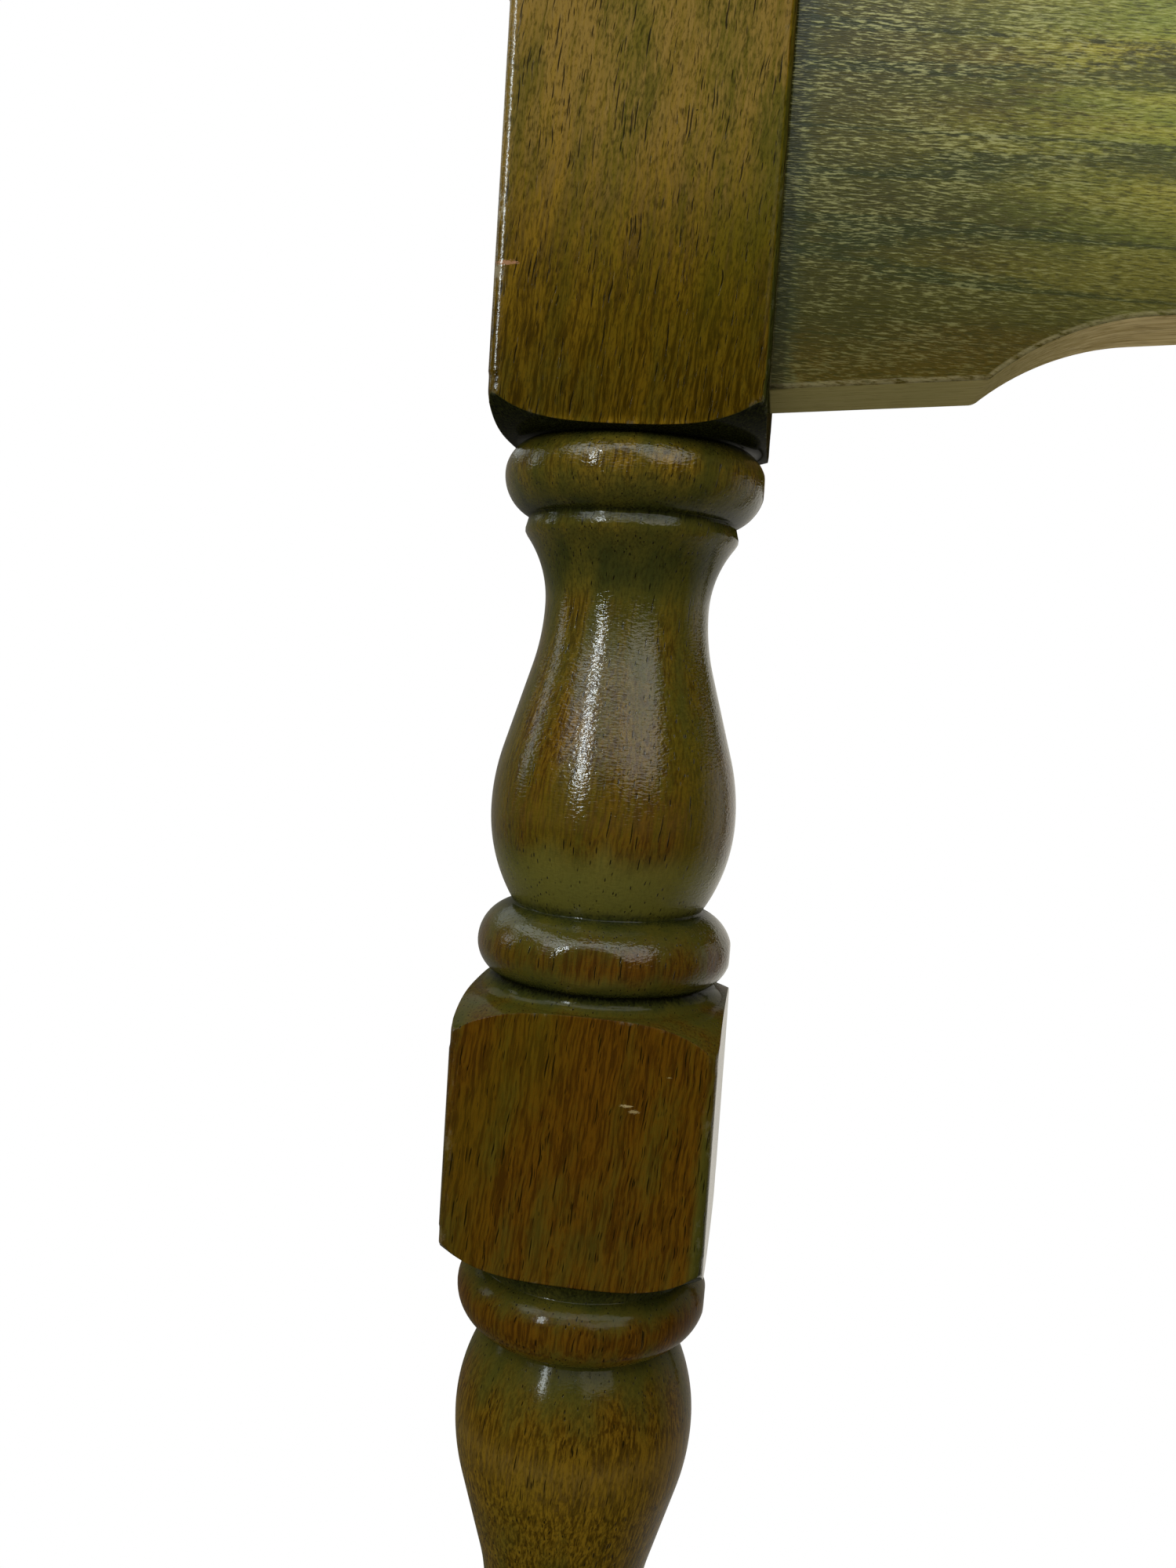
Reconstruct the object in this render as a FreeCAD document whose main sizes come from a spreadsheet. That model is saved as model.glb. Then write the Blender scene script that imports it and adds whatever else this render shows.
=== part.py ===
import FreeCAD
import Part
import math
import os
import Sketcher
from FreeCAD import Placement, Rotation, Vector

# A low square stool. Four turned legs lean outwards to the left and right, deep shaped
# aprons are dowelled between them and braced in the corners, and a seat frame of rails
# and corner blocks, wrapped in straw cord, is dowelled to the tops of the legs.
# Millimetres. The origin is on the floor under the middle of the seat, +Z is up and
# the front of the stool faces -Y.

SIZES = [
    # Leg: square section, lean, spacing of the leg axes at the top of the frame.
    ("leg_width", 45),
    ("splay_angle", 4.35),
    ("leg_spacing_x", 280),
    ("leg_spacing_y", 280),
    ("arris_radius", 1.5),
    # Leg: lengths along its axis, from the top block down to the foot.
    ("top_block_length", 86),
    ("bead_height", 12.5),
    ("vase_length", 67.9),
    ("mid_block_length", 52.4),
    ("foot_length", 38.5),
    # Leg: turned outline. Heights of the vase are measured from its foot.
    ("bead_radius", 22.8),
    ("bead_crest", 7.1),
    ("block_groove_radius", 19.5),
    ("vase_foot_radius", 16.8),
    ("belly_height", 16.7),
    ("belly_radius", 21.9),
    ("neck_height", 53.1),
    ("neck_radius", 14.6),
    ("lip_height", 65.2),
    ("lip_radius", 18.9),
    ("lip_groove_radius", 18.2),
    ("foot_swell_height", 22),
    ("foot_radius", 21),
    ("sole_radius", 14.5),
    # Leg: rounded shoulders of the square blocks, each above a short collar.
    ("collar_radius", 21.6),
    ("shoulder_rise", 5.7),
    ("top_collar", 0.3),
    ("mid_upper_collar", 2.6),
    ("mid_lower_collar", 3.8),
    # Aprons: boards set back from the leg faces, lower edge cut up in a curve.
    ("apron_height", 80),
    ("apron_thickness", 19),
    ("apron_setback", 5),
    ("arch_shoulder", 34),
    ("arch_run", 24.7),
    ("arch_rise", 8.5),
    # Dowels between legs and aprons, and between legs and seat.
    ("dowel_radius", 4),
    ("dowel_length", 40),
    ("upper_dowel_drop", 26),
    ("lower_dowel_drop", 60),
    ("seat_dowel_radius", 5),
    ("seat_dowel_in_block", 20),
    ("dowel_web", 4),
    ("dowel_clearance", 0.05),
    ("hole_end_clearance", 1),
    # Corner braces and their screws.
    ("brace_thickness", 22),
    ("brace_height", 45),
    ("brace_drop", 10),
    ("brace_leg_gap", 2),
    ("screw_seat", 7),
    ("screw_end_cover", 4),
    ("screw_radius", 2),
    ("screw_head_radius", 4),
    ("screw_head_height", 3),
    ("screw_clearance", 0.05),
    ("head_clearance", 1),
    # Seat frame.
    ("seat_overhang", 9),
    ("corner_block_height", 32),
    ("corner_block_round", 12),
    ("corner_block_edge", 5),
    ("rail_width", 26),
    ("rail_height", 20),
    ("rail_round", 4),
    ("tenon_length", 24),
    ("tenon_thickness", 10),
    ("tenon_height", 13),
    ("tenon_clearance", 0.05),
    # Straw weave and its stuffing.
    ("straw_thickness", 5),
    ("straw_gap", 1),
    ("straw_round", 9),
    ("seat_crown", 7),
    ("stuffing_rise", 3.5),
    ("core_half_width", 30),
    # Waste cut away past a face, so that a cut never ends on it.
    ("trim_allowance", 6),
]

SHEET = "Sizes"
SIDES = {1: "left", -1: "right"}
ENDS = {1: "front", -1: "back"}


class Dim:
    """A size kept both as a spreadsheet formula and as its present value."""

    def __init__(self, formula, value):
        self.formula = formula
        self.value = value

    def __add__(self, other):
        other = as_dim(other)
        return Dim(f"({self.formula} + {other.formula})", self.value + other.value)

    def __sub__(self, other):
        other = as_dim(other)
        return Dim(f"({self.formula} - {other.formula})", self.value - other.value)

    def __mul__(self, other):
        other = as_dim(other)
        return Dim(f"({self.formula} * {other.formula})", self.value * other.value)

    def __truediv__(self, other):
        other = as_dim(other)
        return Dim(f"({self.formula} / {other.formula})", self.value / other.value)

    def __neg__(self):
        return self * -1

    __radd__ = __add__
    __rmul__ = __mul__


def as_dim(thing):
    if isinstance(thing, Dim):
        return thing
    return Dim(f"({float(thing)!r})", float(thing))


def cosine(angle):
    return Dim(f"cos({angle.formula} * 1 deg)", math.cos(math.radians(angle.value)))


def sine(angle):
    return Dim(f"sin({angle.formula} * 1 deg)", math.sin(math.radians(angle.value)))


def tangent(angle):
    return Dim(f"tan({angle.formula} * 1 deg)", math.tan(math.radians(angle.value)))


def root(number):
    return Dim(f"sqrt({number.formula})", math.sqrt(number.value))


doc = FreeCAD.newDocument("straw_seat_stool")
sheet = doc.addObject("Spreadsheet::Sheet", SHEET)
for row, (alias, number) in enumerate(SIZES, start=1):
    sheet.set(f"A{row}", alias)
    sheet.set(f"B{row}", str(number))
    sheet.setAlias(f"B{row}", alias)
doc.recompute()

dim = {alias: Dim(f"{SHEET}.{alias}", float(number)) for alias, number in SIZES}
ZERO = as_dim(0)

# Sizes that follow from the driving ones and are shared by several pieces.
lean = dim["splay_angle"]
half_leg = dim["leg_width"] / 2
corner_radius = dim["leg_width"] * root(as_dim(0.5))
waste_radius = corner_radius + dim["trim_allowance"]
baluster_length = 2 * dim["bead_height"] + dim["vase_length"]
leg_length = (dim["top_block_length"] + 2 * baluster_length
              + dim["mid_block_length"] + dim["foot_length"])
frame_height = leg_length * cosine(lean)
axis_x = dim["leg_spacing_x"] / 2
axis_y = dim["leg_spacing_y"] / 2
apron_middle = half_leg - dim["apron_setback"] - dim["apron_thickness"] / 2
apron_inside = dim["apron_setback"] + dim["apron_thickness"] - half_leg
dowel_drops = [dim["upper_dowel_drop"], dim["lower_dowel_drop"]]
dowel_hole_radius = dim["dowel_radius"] + dim["dowel_clearance"]
dowel_hole_depth = dim["dowel_length"] / 2 + dim["hole_end_clearance"]
seat_dowel_in_leg = dim["upper_dowel_drop"] - dim["dowel_radius"] - dim["dowel_web"]
seat_socket_radius = dim["seat_dowel_radius"] + dim["dowel_clearance"]
brace_near = dim["leg_width"] + 2 * dim["brace_leg_gap"]
brace_far = brace_near + dim["brace_thickness"] * root(as_dim(2))
screw_reach = (brace_near + brace_far) / 2 - apron_inside
screw_level = dim["brace_drop"] + dim["brace_height"] / 2
screw_hole_radius = dim["screw_radius"] + dim["screw_clearance"]
screw_bite = dim["apron_thickness"] - dim["screw_end_cover"]
screw_in_apron = screw_bite + dim["hole_end_clearance"]
seat_half_x = axis_x + half_leg / cosine(lean) + dim["seat_overhang"]
seat_half_y = axis_y + half_leg + dim["seat_overhang"]
block_plan = dim["seat_overhang"] + dim["leg_width"]
rail_half_x = seat_half_x - block_plan
rail_half_y = seat_half_y - block_plan
rail_bottom = dim["straw_gap"] + dim["straw_thickness"]
rail_top = rail_bottom + dim["rail_height"]
rail_middle = dim["straw_thickness"] + dim["rail_width"] / 2
rail_inside = dim["straw_thickness"] + dim["rail_width"]
tenon_bottom = rail_bottom + (dim["rail_height"] - dim["tenon_height"]) / 2


class Step:
    """The next point of an outline, reached by a line or by an arc with one known centre coordinate."""

    def __init__(self, x, y, centre_x=None, centre_y=None):
        self.x = as_dim(x)
        self.y = as_dim(y)
        self.centre_x = centre_x
        self.centre_y = centre_y

    def is_arc(self):
        return self.centre_x is not None or self.centre_y is not None

    def centre(self, start):
        """The arc's centre, as far from this point as from the start."""
        ax, ay, bx, by = start.x.value, start.y.value, self.x.value, self.y.value
        reach = (bx * bx + by * by - ax * ax - ay * ay) / 2
        if self.centre_x is not None:
            known = self.centre_x.value
            return Vector(known, (reach - known * (bx - ax)) / (by - ay), 0)
        known = self.centre_y.value
        return Vector((reach - known * (by - ay)) / (bx - ax), known, 0)


UP = Vector(0, 0, 1)
# The vertices of a sketch's line, arc or circle, numbered from one.
START, END, CENTRE = range(1, 4)


def fix(sketch, axis, geometry, vertex, size):
    """Hold a coordinate of a vertex of a sketch."""
    index = sketch.addConstraint(Sketcher.Constraint("Distance" + axis, geometry, vertex, size.value))
    sketch.setExpression(f"Constraints[{index}]", size.formula)


def draw(sketch, steps):
    """Draw a closed outline and tie every corner to its formula."""
    ends = []
    for start, step in zip([steps[-1]] + steps[:-1], steps):
        a = Vector(start.x.value, start.y.value, 0)
        b = Vector(step.x.value, step.y.value, 0)
        if step.is_arc():
            centre = step.centre(start)
            from_angle = math.atan2(a.y - centre.y, a.x - centre.x)
            to_angle = math.atan2(b.y - centre.y, b.x - centre.x)
            forward = math.sin(to_angle - from_angle) > 0
            if not forward:
                from_angle, to_angle = to_angle, from_angle
            circle = Part.Circle(centre, UP, (a - centre).Length)
            index = sketch.addGeometry(Part.ArcOfCircle(circle, from_angle, to_angle))
            ends.append((index, START, END) if forward else (index, END, START))
        else:
            index = sketch.addGeometry(Part.LineSegment(a, b))
            ends.append((index, START, END))
    for (index, _, last), (following, first, _) in zip(ends, ends[1:] + ends[:1]):
        sketch.addConstraint(Sketcher.Constraint("Coincident", index, last, following, first))
    for (index, _, last), step in zip(ends, steps):
        fix(sketch, "X", index, last, step.x)
        fix(sketch, "Y", index, last, step.y)
        if step.centre_x is not None:
            fix(sketch, "X", index, CENTRE, step.centre_x)
        elif step.centre_y is not None:
            fix(sketch, "Y", index, CENTRE, step.centre_y)


def draw_circles(sketch, centres, radius):
    for x, y in centres:
        middle = Vector(x.value, y.value, 0)
        index = sketch.addGeometry(Part.Circle(middle, UP, radius.value))
        fix(sketch, "X", index, CENTRE, x)
        fix(sketch, "Y", index, CENTRE, y)
        constraint = sketch.addConstraint(Sketcher.Constraint("Radius", index, radius.value))
        sketch.setExpression(f"Constraints[{constraint}]", radius.formula)


def rectangle(x_low, x_high, y_low, y_high):
    return [Step(x_low, y_low), Step(x_high, y_low), Step(x_high, y_high), Step(x_low, y_high)]


def rounded_rectangle(x_low, x_high, y_low, y_high, radius):
    return [Step(x_low + radius, y_low, centre_x=x_low + radius),
            Step(x_high - radius, y_low),
            Step(x_high, y_low + radius, centre_x=x_high - radius),
            Step(x_high, y_high - radius),
            Step(x_high - radius, y_high, centre_x=x_high - radius),
            Step(x_low + radius, y_high),
            Step(x_low, y_high - radius, centre_x=x_low + radius),
            Step(x_low, y_low + radius)]


def new_body(label):
    body = doc.addObject("PartDesign::Body", label)
    body.Label = label
    return body


def new_sketch(body, role, offset=ZERO, across=ZERO, along=ZERO, tilt_axis=None):
    """A sketch on one of the body's origin planes, moved off it and leaned by the splay."""
    sketch = body.newObject("Sketcher::SketchObject", body.Label + "_sketch")
    support = [feature for feature in body.Origin.OriginFeatures if feature.Role == role]
    sketch.AttachmentSupport = [(support[0], "")]
    sketch.MapMode = "FlatFace"
    base = Vector(across.value, along.value, offset.value)
    turn = Rotation(tilt_axis, lean.value) if tilt_axis else Rotation()
    sketch.AttachmentOffset = Placement(base, turn)
    for letter, size in zip("xyz", (across, along, offset)):
        if size is not ZERO:
            sketch.setExpression(f"AttachmentOffset.Base.{letter}", size.formula)
    if tilt_axis:
        sketch.setExpression("AttachmentOffset.Rotation.Angle", f"{lean.formula} * 1 deg")
    return sketch


def pad(body, sketch, length, symmetric=False, reverse=False):
    feature = body.newObject("PartDesign::Pad", body.Label + "_pad")
    feature.Profile = sketch
    feature.SideType = "Symmetric" if symmetric else "One side"
    feature.Reversed = reverse
    feature.setExpression("Length", length.formula)


def pocket(body, sketch, length=None, symmetric=False, reverse=False):
    """Cut a sketch into a body, through all of it where no length is given."""
    feature = body.newObject("PartDesign::Pocket", body.Label + "_pocket")
    feature.Profile = sketch
    feature.SideType = "Symmetric" if symmetric else "One side"
    feature.Reversed = reverse
    if length is None:
        feature.Type = "ThroughAll"
    else:
        feature.setExpression("Length", length.formula)


def drill(body, axis, offset, centres, radius, depth, towards):
    """Bore round holes along the body's X or Y axis from a plane square to it."""
    role, normal = {"X": ("YZ_Plane", 1), "Y": ("XZ_Plane", -1)}[axis]
    sketch = new_sketch(body, role, offset=normal * offset)
    draw_circles(sketch, centres, radius)
    pocket(body, sketch, depth, reverse=(towards == normal))


def place(piece, x, y, z):
    for letter, size in zip("xyz", (x, y, z)):
        piece.setExpression(f"Placement.Base.{letter}", size.formula)


def place_leaning(piece, side, x, y, z):
    """Put a piece in the frame of a leg, which leans in towards the middle of the stool."""
    piece.Placement = Placement(Vector(), Rotation(Vector(0, side, 0), lean.value))
    piece.setExpression("Placement.Rotation.Angle", f"{lean.formula} * 1 deg")
    place(piece, x, y, z)


def place_at_corner(piece, side, end):
    place_leaning(piece, side, -side * axis_x, -end * axis_y, frame_height)


def baluster(groove, direction):
    """Turned outline from a block's groove: bead, vase from foot to lip, bead, groove."""
    crest = groove + direction * (dim["bead_height"] - dim["bead_crest"])
    vase = groove + direction * dim["bead_height"]
    belly = vase + direction * dim["belly_height"]
    neck = vase + direction * dim["neck_height"]
    lip = vase + direction * dim["lip_height"]
    last_bead = vase + direction * dim["vase_length"]
    last_crest = last_bead + direction * dim["bead_crest"]
    last_groove = last_bead + direction * dim["bead_height"]
    return [
        Step(dim["block_groove_radius"], groove),
        Step(dim["bead_radius"], crest, centre_y=crest),
        Step(dim["vase_foot_radius"], vase, centre_y=crest),
        Step(dim["belly_radius"], belly, centre_y=belly),
        Step((dim["belly_radius"] + dim["neck_radius"]) / 2, (belly + neck) / 2, centre_y=belly),
        Step(dim["neck_radius"], neck, centre_y=neck),
        Step(dim["lip_radius"], lip, centre_y=neck),
        Step(dim["lip_groove_radius"], last_bead),
        Step(dim["bead_radius"], last_crest, centre_y=last_crest),
        Step(dim["block_groove_radius"], last_groove, centre_y=last_crest),
    ]


def block_shoulder(groove, collar, direction):
    """Outline from outside a square block, round its shoulder, to the collar at its groove."""
    level = groove + direction * collar
    corner = level + direction * dim["shoulder_rise"]
    return [
        Step(waste_radius, corner),
        Step(corner_radius, corner),
        Step(dim["collar_radius"], level, centre_x=dim["collar_radius"]),
    ]


def turn_away(body, steps):
    """Turn the waste inside an outline off the square blank, all the way round."""
    sketch = new_sketch(body, "XZ_Plane")
    draw(sketch, steps)
    groove = body.newObject("PartDesign::Groove", body.Label + "_turning")
    groove.Profile = sketch
    groove.ReferenceAxis = (sketch, ["V_Axis"])


def make_leg(side, end):
    """A square blank, turned in two stretches, trimmed level at both ends and drilled."""
    body = new_body(f"leg_{ENDS[end]}_{SIDES[side]}")
    allowance = dim["trim_allowance"]
    blank = new_sketch(body, "XY_Plane", offset=allowance)
    draw(blank, rounded_rectangle(-half_leg, half_leg, -half_leg, half_leg, dim["arris_radius"]))
    pad(body, blank, leg_length + 2 * allowance, reverse=True)

    top_groove = -dim["top_block_length"]
    mid_upper_groove = top_groove - baluster_length
    mid_lower_groove = mid_upper_groove - dim["mid_block_length"]
    foot_groove = mid_lower_groove - baluster_length
    sole = foot_groove - dim["foot_length"]
    swell = sole + dim["foot_swell_height"]

    top_level = top_groove + dim["top_collar"]
    top_corner = top_level + dim["shoulder_rise"]
    upper = block_shoulder(mid_upper_groove, dim["mid_upper_collar"], -1)
    upper += baluster(mid_upper_groove, 1)
    upper += [Step(dim["collar_radius"], top_level),
              Step(corner_radius, top_corner, centre_x=dim["collar_radius"]),
              Step(waste_radius, top_corner)]
    turn_away(body, upper)

    lower = block_shoulder(mid_lower_groove, dim["mid_lower_collar"], 1)
    lower += baluster(mid_lower_groove, -1)
    lower += [Step(dim["foot_radius"], swell, centre_y=swell),
              Step(dim["sole_radius"], sole, centre_y=swell),
              Step(dim["sole_radius"], sole - 2 * allowance),
              Step(waste_radius, sole - 2 * allowance)]
    turn_away(body, lower)

    for level, upward in ((ZERO, True), (sole, False)):
        trim = new_sketch(body, "XY_Plane", offset=level, tilt_axis=Vector(0, -side, 0))
        draw(trim, rectangle(-waste_radius, waste_radius, -waste_radius, waste_radius))
        pocket(body, trim, reverse=upward)

    socket = new_sketch(body, "XY_Plane", tilt_axis=Vector(0, -side, 0))
    draw_circles(socket, [(ZERO, ZERO)], seat_socket_radius)
    pocket(body, socket, seat_dowel_in_leg + dim["hole_end_clearance"])

    front_holes = [(-end * apron_middle, -drop) for drop in dowel_drops]
    side_holes = [(-side * apron_middle, -drop) for drop in dowel_drops]
    drill(body, "X", side * half_leg, front_holes, dowel_hole_radius, dowel_hole_depth, -side)
    drill(body, "Y", end * half_leg, side_holes, dowel_hole_radius, dowel_hole_depth, -end)
    place_at_corner(body, side, end)
    return body


def arch(half_length, low, out_of_edge):
    """Right half to left half of an apron's curved lower edge, starting below it if cut out."""
    foot = half_length - dim["arch_shoulder"]
    crown = foot - dim["arch_run"]
    high = low + dim["arch_rise"]
    steps = [Step(foot, low), Step(crown, high, centre_x=crown),
             Step(-crown, high), Step(-foot, low, centre_x=-crown)]
    if out_of_edge:
        below = low - dim["trim_allowance"]
        steps = [Step(foot, below)] + steps + [Step(-foot, below)]
    return steps


def make_long_apron(end):
    """The front or back apron: upright, with ends cut to the lean of the legs."""
    body = new_body(f"apron_{ENDS[end]}")
    low = -dim["apron_height"]
    top_half = axis_x - half_leg / cosine(lean)
    low_half = top_half + dim["apron_height"] * tangent(lean)
    outline = new_sketch(body, "XZ_Plane")
    draw(outline, [Step(top_half, 0), Step(low_half, low)] + arch(low_half, low, False)
         + [Step(-low_half, low), Step(-top_half, 0)])
    pad(body, outline, dim["apron_thickness"], symmetric=True)

    for side in SIDES:
        joint = new_sketch(body, "YZ_Plane", tilt_axis=Vector(side, 0, 0),
                           along=-half_leg * sine(lean), offset=-side * (axis_x - half_leg * cosine(lean)))
        draw_circles(joint, [(ZERO, -drop) for drop in dowel_drops], dowel_hole_radius)
        pocket(body, joint, dowel_hole_depth, reverse=(side == 1))

    screw_x = axis_x - screw_reach * cosine(lean) + screw_level * sine(lean)
    screw_z = -(screw_reach * sine(lean) + screw_level * cosine(lean))
    screws = [(-side * screw_x, screw_z) for side in SIDES]
    drill(body, "Y", end * dim["apron_thickness"] / 2, screws, screw_hole_radius, screw_in_apron, -end)
    place(body, ZERO, -end * (axis_y + apron_middle), frame_height)
    return body


def make_side_apron(side):
    """A left or right apron: it leans with the legs, with level upper and lower edges."""
    body = new_body(f"apron_{SIDES[side]}")
    outer = half_leg - dim["apron_setback"]
    inner = outer - dim["apron_thickness"]
    depth = dim["apron_height"] / cosine(lean)
    half_length = axis_y - half_leg

    section = new_sketch(body, "XZ_Plane")
    draw(section, [Step(-side * reach, -reach * tangent(lean) - drop)
                   for reach, drop in ((outer, ZERO), (inner, ZERO), (inner, depth), (outer, depth))])
    pad(body, section, 2 * half_length, symmetric=True)

    low = -outer * tangent(lean) - depth
    cut = new_sketch(body, "YZ_Plane")
    draw(cut, arch(half_length, low, True))
    pocket(body, cut, 2 * dim["leg_width"], symmetric=True)

    dowels = [(-side * apron_middle, -drop) for drop in dowel_drops]
    screws = [(-end * (axis_y - screw_reach), -screw_level) for end in ENDS]
    for end in ENDS:
        drill(body, "Y", -end * half_length, dowels, dowel_hole_radius, dowel_hole_depth, end)
    drill(body, "X", side * apron_inside, screws, screw_hole_radius, screw_in_apron, -side)
    place_leaning(body, side, -side * axis_x, ZERO, frame_height)
    return body


def make_brace(side, end):
    """A block across the inside corner, its ends against both aprons, bored for two screws."""
    body = new_body(f"corner_brace_{ENDS[end]}_{SIDES[side]}")
    plan = new_sketch(body, "XY_Plane", offset=-dim["brace_drop"])
    near = brace_near - apron_inside
    far = brace_far - apron_inside
    draw(plan, [Step(side * x, end * y) for x, y in ((near, apron_inside), (far, apron_inside),
                                                     (apron_inside, far), (apron_inside, near))])
    pad(body, plan, dim["brace_height"], reverse=True)

    seat = apron_inside + dim["screw_seat"]
    head_hole = dim["screw_head_radius"] + dim["head_clearance"]
    for axis, hand, centre in (("Y", end, side * screw_reach), ("X", side, end * screw_reach)):
        middle = [(centre, -screw_level)]
        drill(body, axis, hand * seat, middle, screw_hole_radius, 2 * dim["screw_seat"], -hand)
        drill(body, axis, hand * seat, middle, head_hole, brace_far, hand)
    place_at_corner(body, side, end)
    return body


def cylinder(label, radius, height, direction, x, y, z):
    """A round bar that runs from the given point in a direction."""
    bar = doc.addObject("Part::Cylinder", label)
    bar.setExpression("Radius", radius.formula)
    bar.setExpression("Height", height.formula)
    bar.Placement = Placement(Vector(), Rotation(UP, direction))
    place(bar, x, y, z)
    return bar


def group(label, pieces):
    compound = doc.addObject("Part::Compound", label)
    compound.Label = label
    compound.Links = pieces
    return compound


def make_apron_dowels(side, end):
    """The four dowels that pin two aprons to one leg, each half in the leg."""
    label = f"apron_dowels_{ENDS[end]}_{SIDES[side]}"
    radius = dim["dowel_radius"]
    length = dim["dowel_length"]
    start_x = side * half_leg - length / 2
    start_y = end * half_leg - length / 2
    dowels = []
    for drop in dowel_drops:
        dowels.append(cylinder(label + "_bar", radius, length, Vector(1, 0, 0),
                               start_x, -end * apron_middle, -drop))
        dowels.append(cylinder(label + "_bar", radius, length, Vector(0, 1, 0),
                               -side * apron_middle, start_y, -drop))
    node = group(label, dowels)
    place_at_corner(node, side, end)
    return node


def make_screw(label, direction, x, y, z):
    """A pan-head screw whose head seats at the given point, with its shank in a direction."""
    head_height = dim["screw_head_height"]
    shank = cylinder(label + "_shank", dim["screw_radius"], dim["screw_seat"] + screw_bite, UP,
                     ZERO, ZERO, ZERO)
    head = cylinder(label + "_head", dim["screw_head_radius"], head_height, UP, ZERO, ZERO, -head_height)
    screw = doc.addObject("Part::Fuse", label)
    screw.Base = shank
    screw.Tool = head
    screw.Placement = Placement(Vector(), Rotation(UP, direction))
    place(screw, x, y, z)
    return screw


def make_brace_screws(side, end):
    """The two screws of one brace, one into each apron."""
    label = f"brace_screws_{ENDS[end]}_{SIDES[side]}"
    part_label = label + "_screw"
    seat = apron_inside + dim["screw_seat"]
    screws = [make_screw(part_label, Vector(0, -end, 0), side * screw_reach, end * seat, -screw_level),
              make_screw(part_label, Vector(-side, 0, 0), side * seat, end * screw_reach, -screw_level)]
    node = group(label, screws)
    place_at_corner(node, side, end)
    return node


def make_seat_dowels():
    """Four upright dowels from the leg tops into the seat's corner blocks."""
    length = seat_dowel_in_leg + dim["seat_dowel_in_block"]
    dowels = [cylinder("seat_dowel", dim["seat_dowel_radius"], length, UP,
                       -side * axis_x, -end * axis_y, frame_height - seat_dowel_in_leg)
              for side in SIDES for end in ENDS]
    return group("seat_dowels", dowels)


# The four sides of the seat, each a quarter turn on from the one before it.
SEAT_SIDES = ("front", "right", "back", "left")


def seat_side(name):
    """Half the length of a side's rail, half the seat across it, and half the opening across it."""
    if name in ("front", "back"):
        return rail_half_x, seat_half_y, rail_half_y
    return rail_half_y, seat_half_x, rail_half_x


def place_on_seat(piece, name):
    turn = SEAT_SIDES.index(name) * math.pi / 2
    piece.Placement = Placement(Vector(), Rotation(UP, math.degrees(turn)))
    place(piece, ZERO, ZERO, frame_height)


def make_rail(name):
    """A round-edged rail with a stub tenon on each end."""
    half_length, half_across, _ = seat_side(name)
    body = new_body(f"seat_rail_{name}")
    outside = dim["straw_thickness"] - half_across
    section = new_sketch(body, "YZ_Plane")
    draw(section, rounded_rectangle(outside, outside + dim["rail_width"],
                                    rail_bottom, rail_top, dim["rail_round"]))
    pad(body, section, 2 * half_length, symmetric=True)
    tenon_outside = rail_middle - half_across - dim["tenon_thickness"] / 2
    tenon = new_sketch(body, "YZ_Plane")
    draw(tenon, rectangle(tenon_outside, tenon_outside + dim["tenon_thickness"],
                          tenon_bottom, tenon_bottom + dim["tenon_height"]))
    pad(body, tenon, 2 * (half_length + dim["tenon_length"]), symmetric=True)
    place_on_seat(body, name)
    return body


def round_outer_top(body, side, end):
    """Round the top edges of a corner block that face out of the seat."""
    inner_x = (-side * rail_half_x).value
    inner_y = (-end * rail_half_y).value
    top = dim["corner_block_height"].value
    base = body.Tip
    doc.recompute([base])
    names = []
    for number, edge in enumerate(base.Shape.Edges, start=1):
        points = [vertex.Point for vertex in edge.Vertexes]
        level = all(math.isclose(point.z, top) for point in points)
        on_inner = (all(math.isclose(point.x, inner_x) for point in points)
                    or all(math.isclose(point.y, inner_y) for point in points))
        if level and not on_inner:
            names.append(f"Edge{number}")
    fillet = body.newObject("PartDesign::Fillet", body.Label + "_edge")
    fillet.Base = (base, names)
    fillet.setExpression("Radius", dim["corner_block_edge"].formula)


def make_corner_block(side, end):
    """A block over a leg, rounded at the seat's corner, mortised for two rails."""
    body = new_body(f"seat_corner_block_{ENDS[end]}_{SIDES[side]}")
    radius = dim["corner_block_round"]
    plan = new_sketch(body, "XY_Plane")
    draw(plan, [Step(-side * x, -end * y, centre_x=centre) for x, y, centre in (
        (rail_half_x, rail_half_y, None),
        (seat_half_x, rail_half_y, None),
        (seat_half_x, seat_half_y - radius, None),
        (seat_half_x - radius, seat_half_y, -side * (seat_half_x - radius)),
        (rail_half_x, seat_half_y, None))])
    pad(body, plan, dim["corner_block_height"])
    round_outer_top(body, side, end)

    socket = new_sketch(body, "XY_Plane")
    draw_circles(socket, [(-side * axis_x, -end * axis_y)], seat_socket_radius)
    pocket(body, socket, dim["seat_dowel_in_block"] + dim["hole_end_clearance"], reverse=True)

    slack = dim["tenon_clearance"]
    half_slot = dim["tenon_thickness"] / 2 + slack
    low = tenon_bottom - slack
    high = tenon_bottom + dim["tenon_height"] + slack
    depth = dim["tenon_length"] + dim["hole_end_clearance"]
    long_middle = -end * (seat_half_y - rail_middle)
    long_mortise = new_sketch(body, "YZ_Plane", offset=-side * rail_half_x)
    draw(long_mortise, rectangle(long_middle - half_slot, long_middle + half_slot, low, high))
    pocket(body, long_mortise, depth, reverse=(side == -1))
    side_middle = -side * (seat_half_x - rail_middle)
    side_mortise = new_sketch(body, "XZ_Plane", offset=end * rail_half_y)
    draw(side_mortise, rectangle(side_middle - half_slot, side_middle + half_slot, low, high))
    pocket(body, side_mortise, depth, reverse=(end == 1))
    place(body, ZERO, ZERO, frame_height)
    return body


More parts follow.
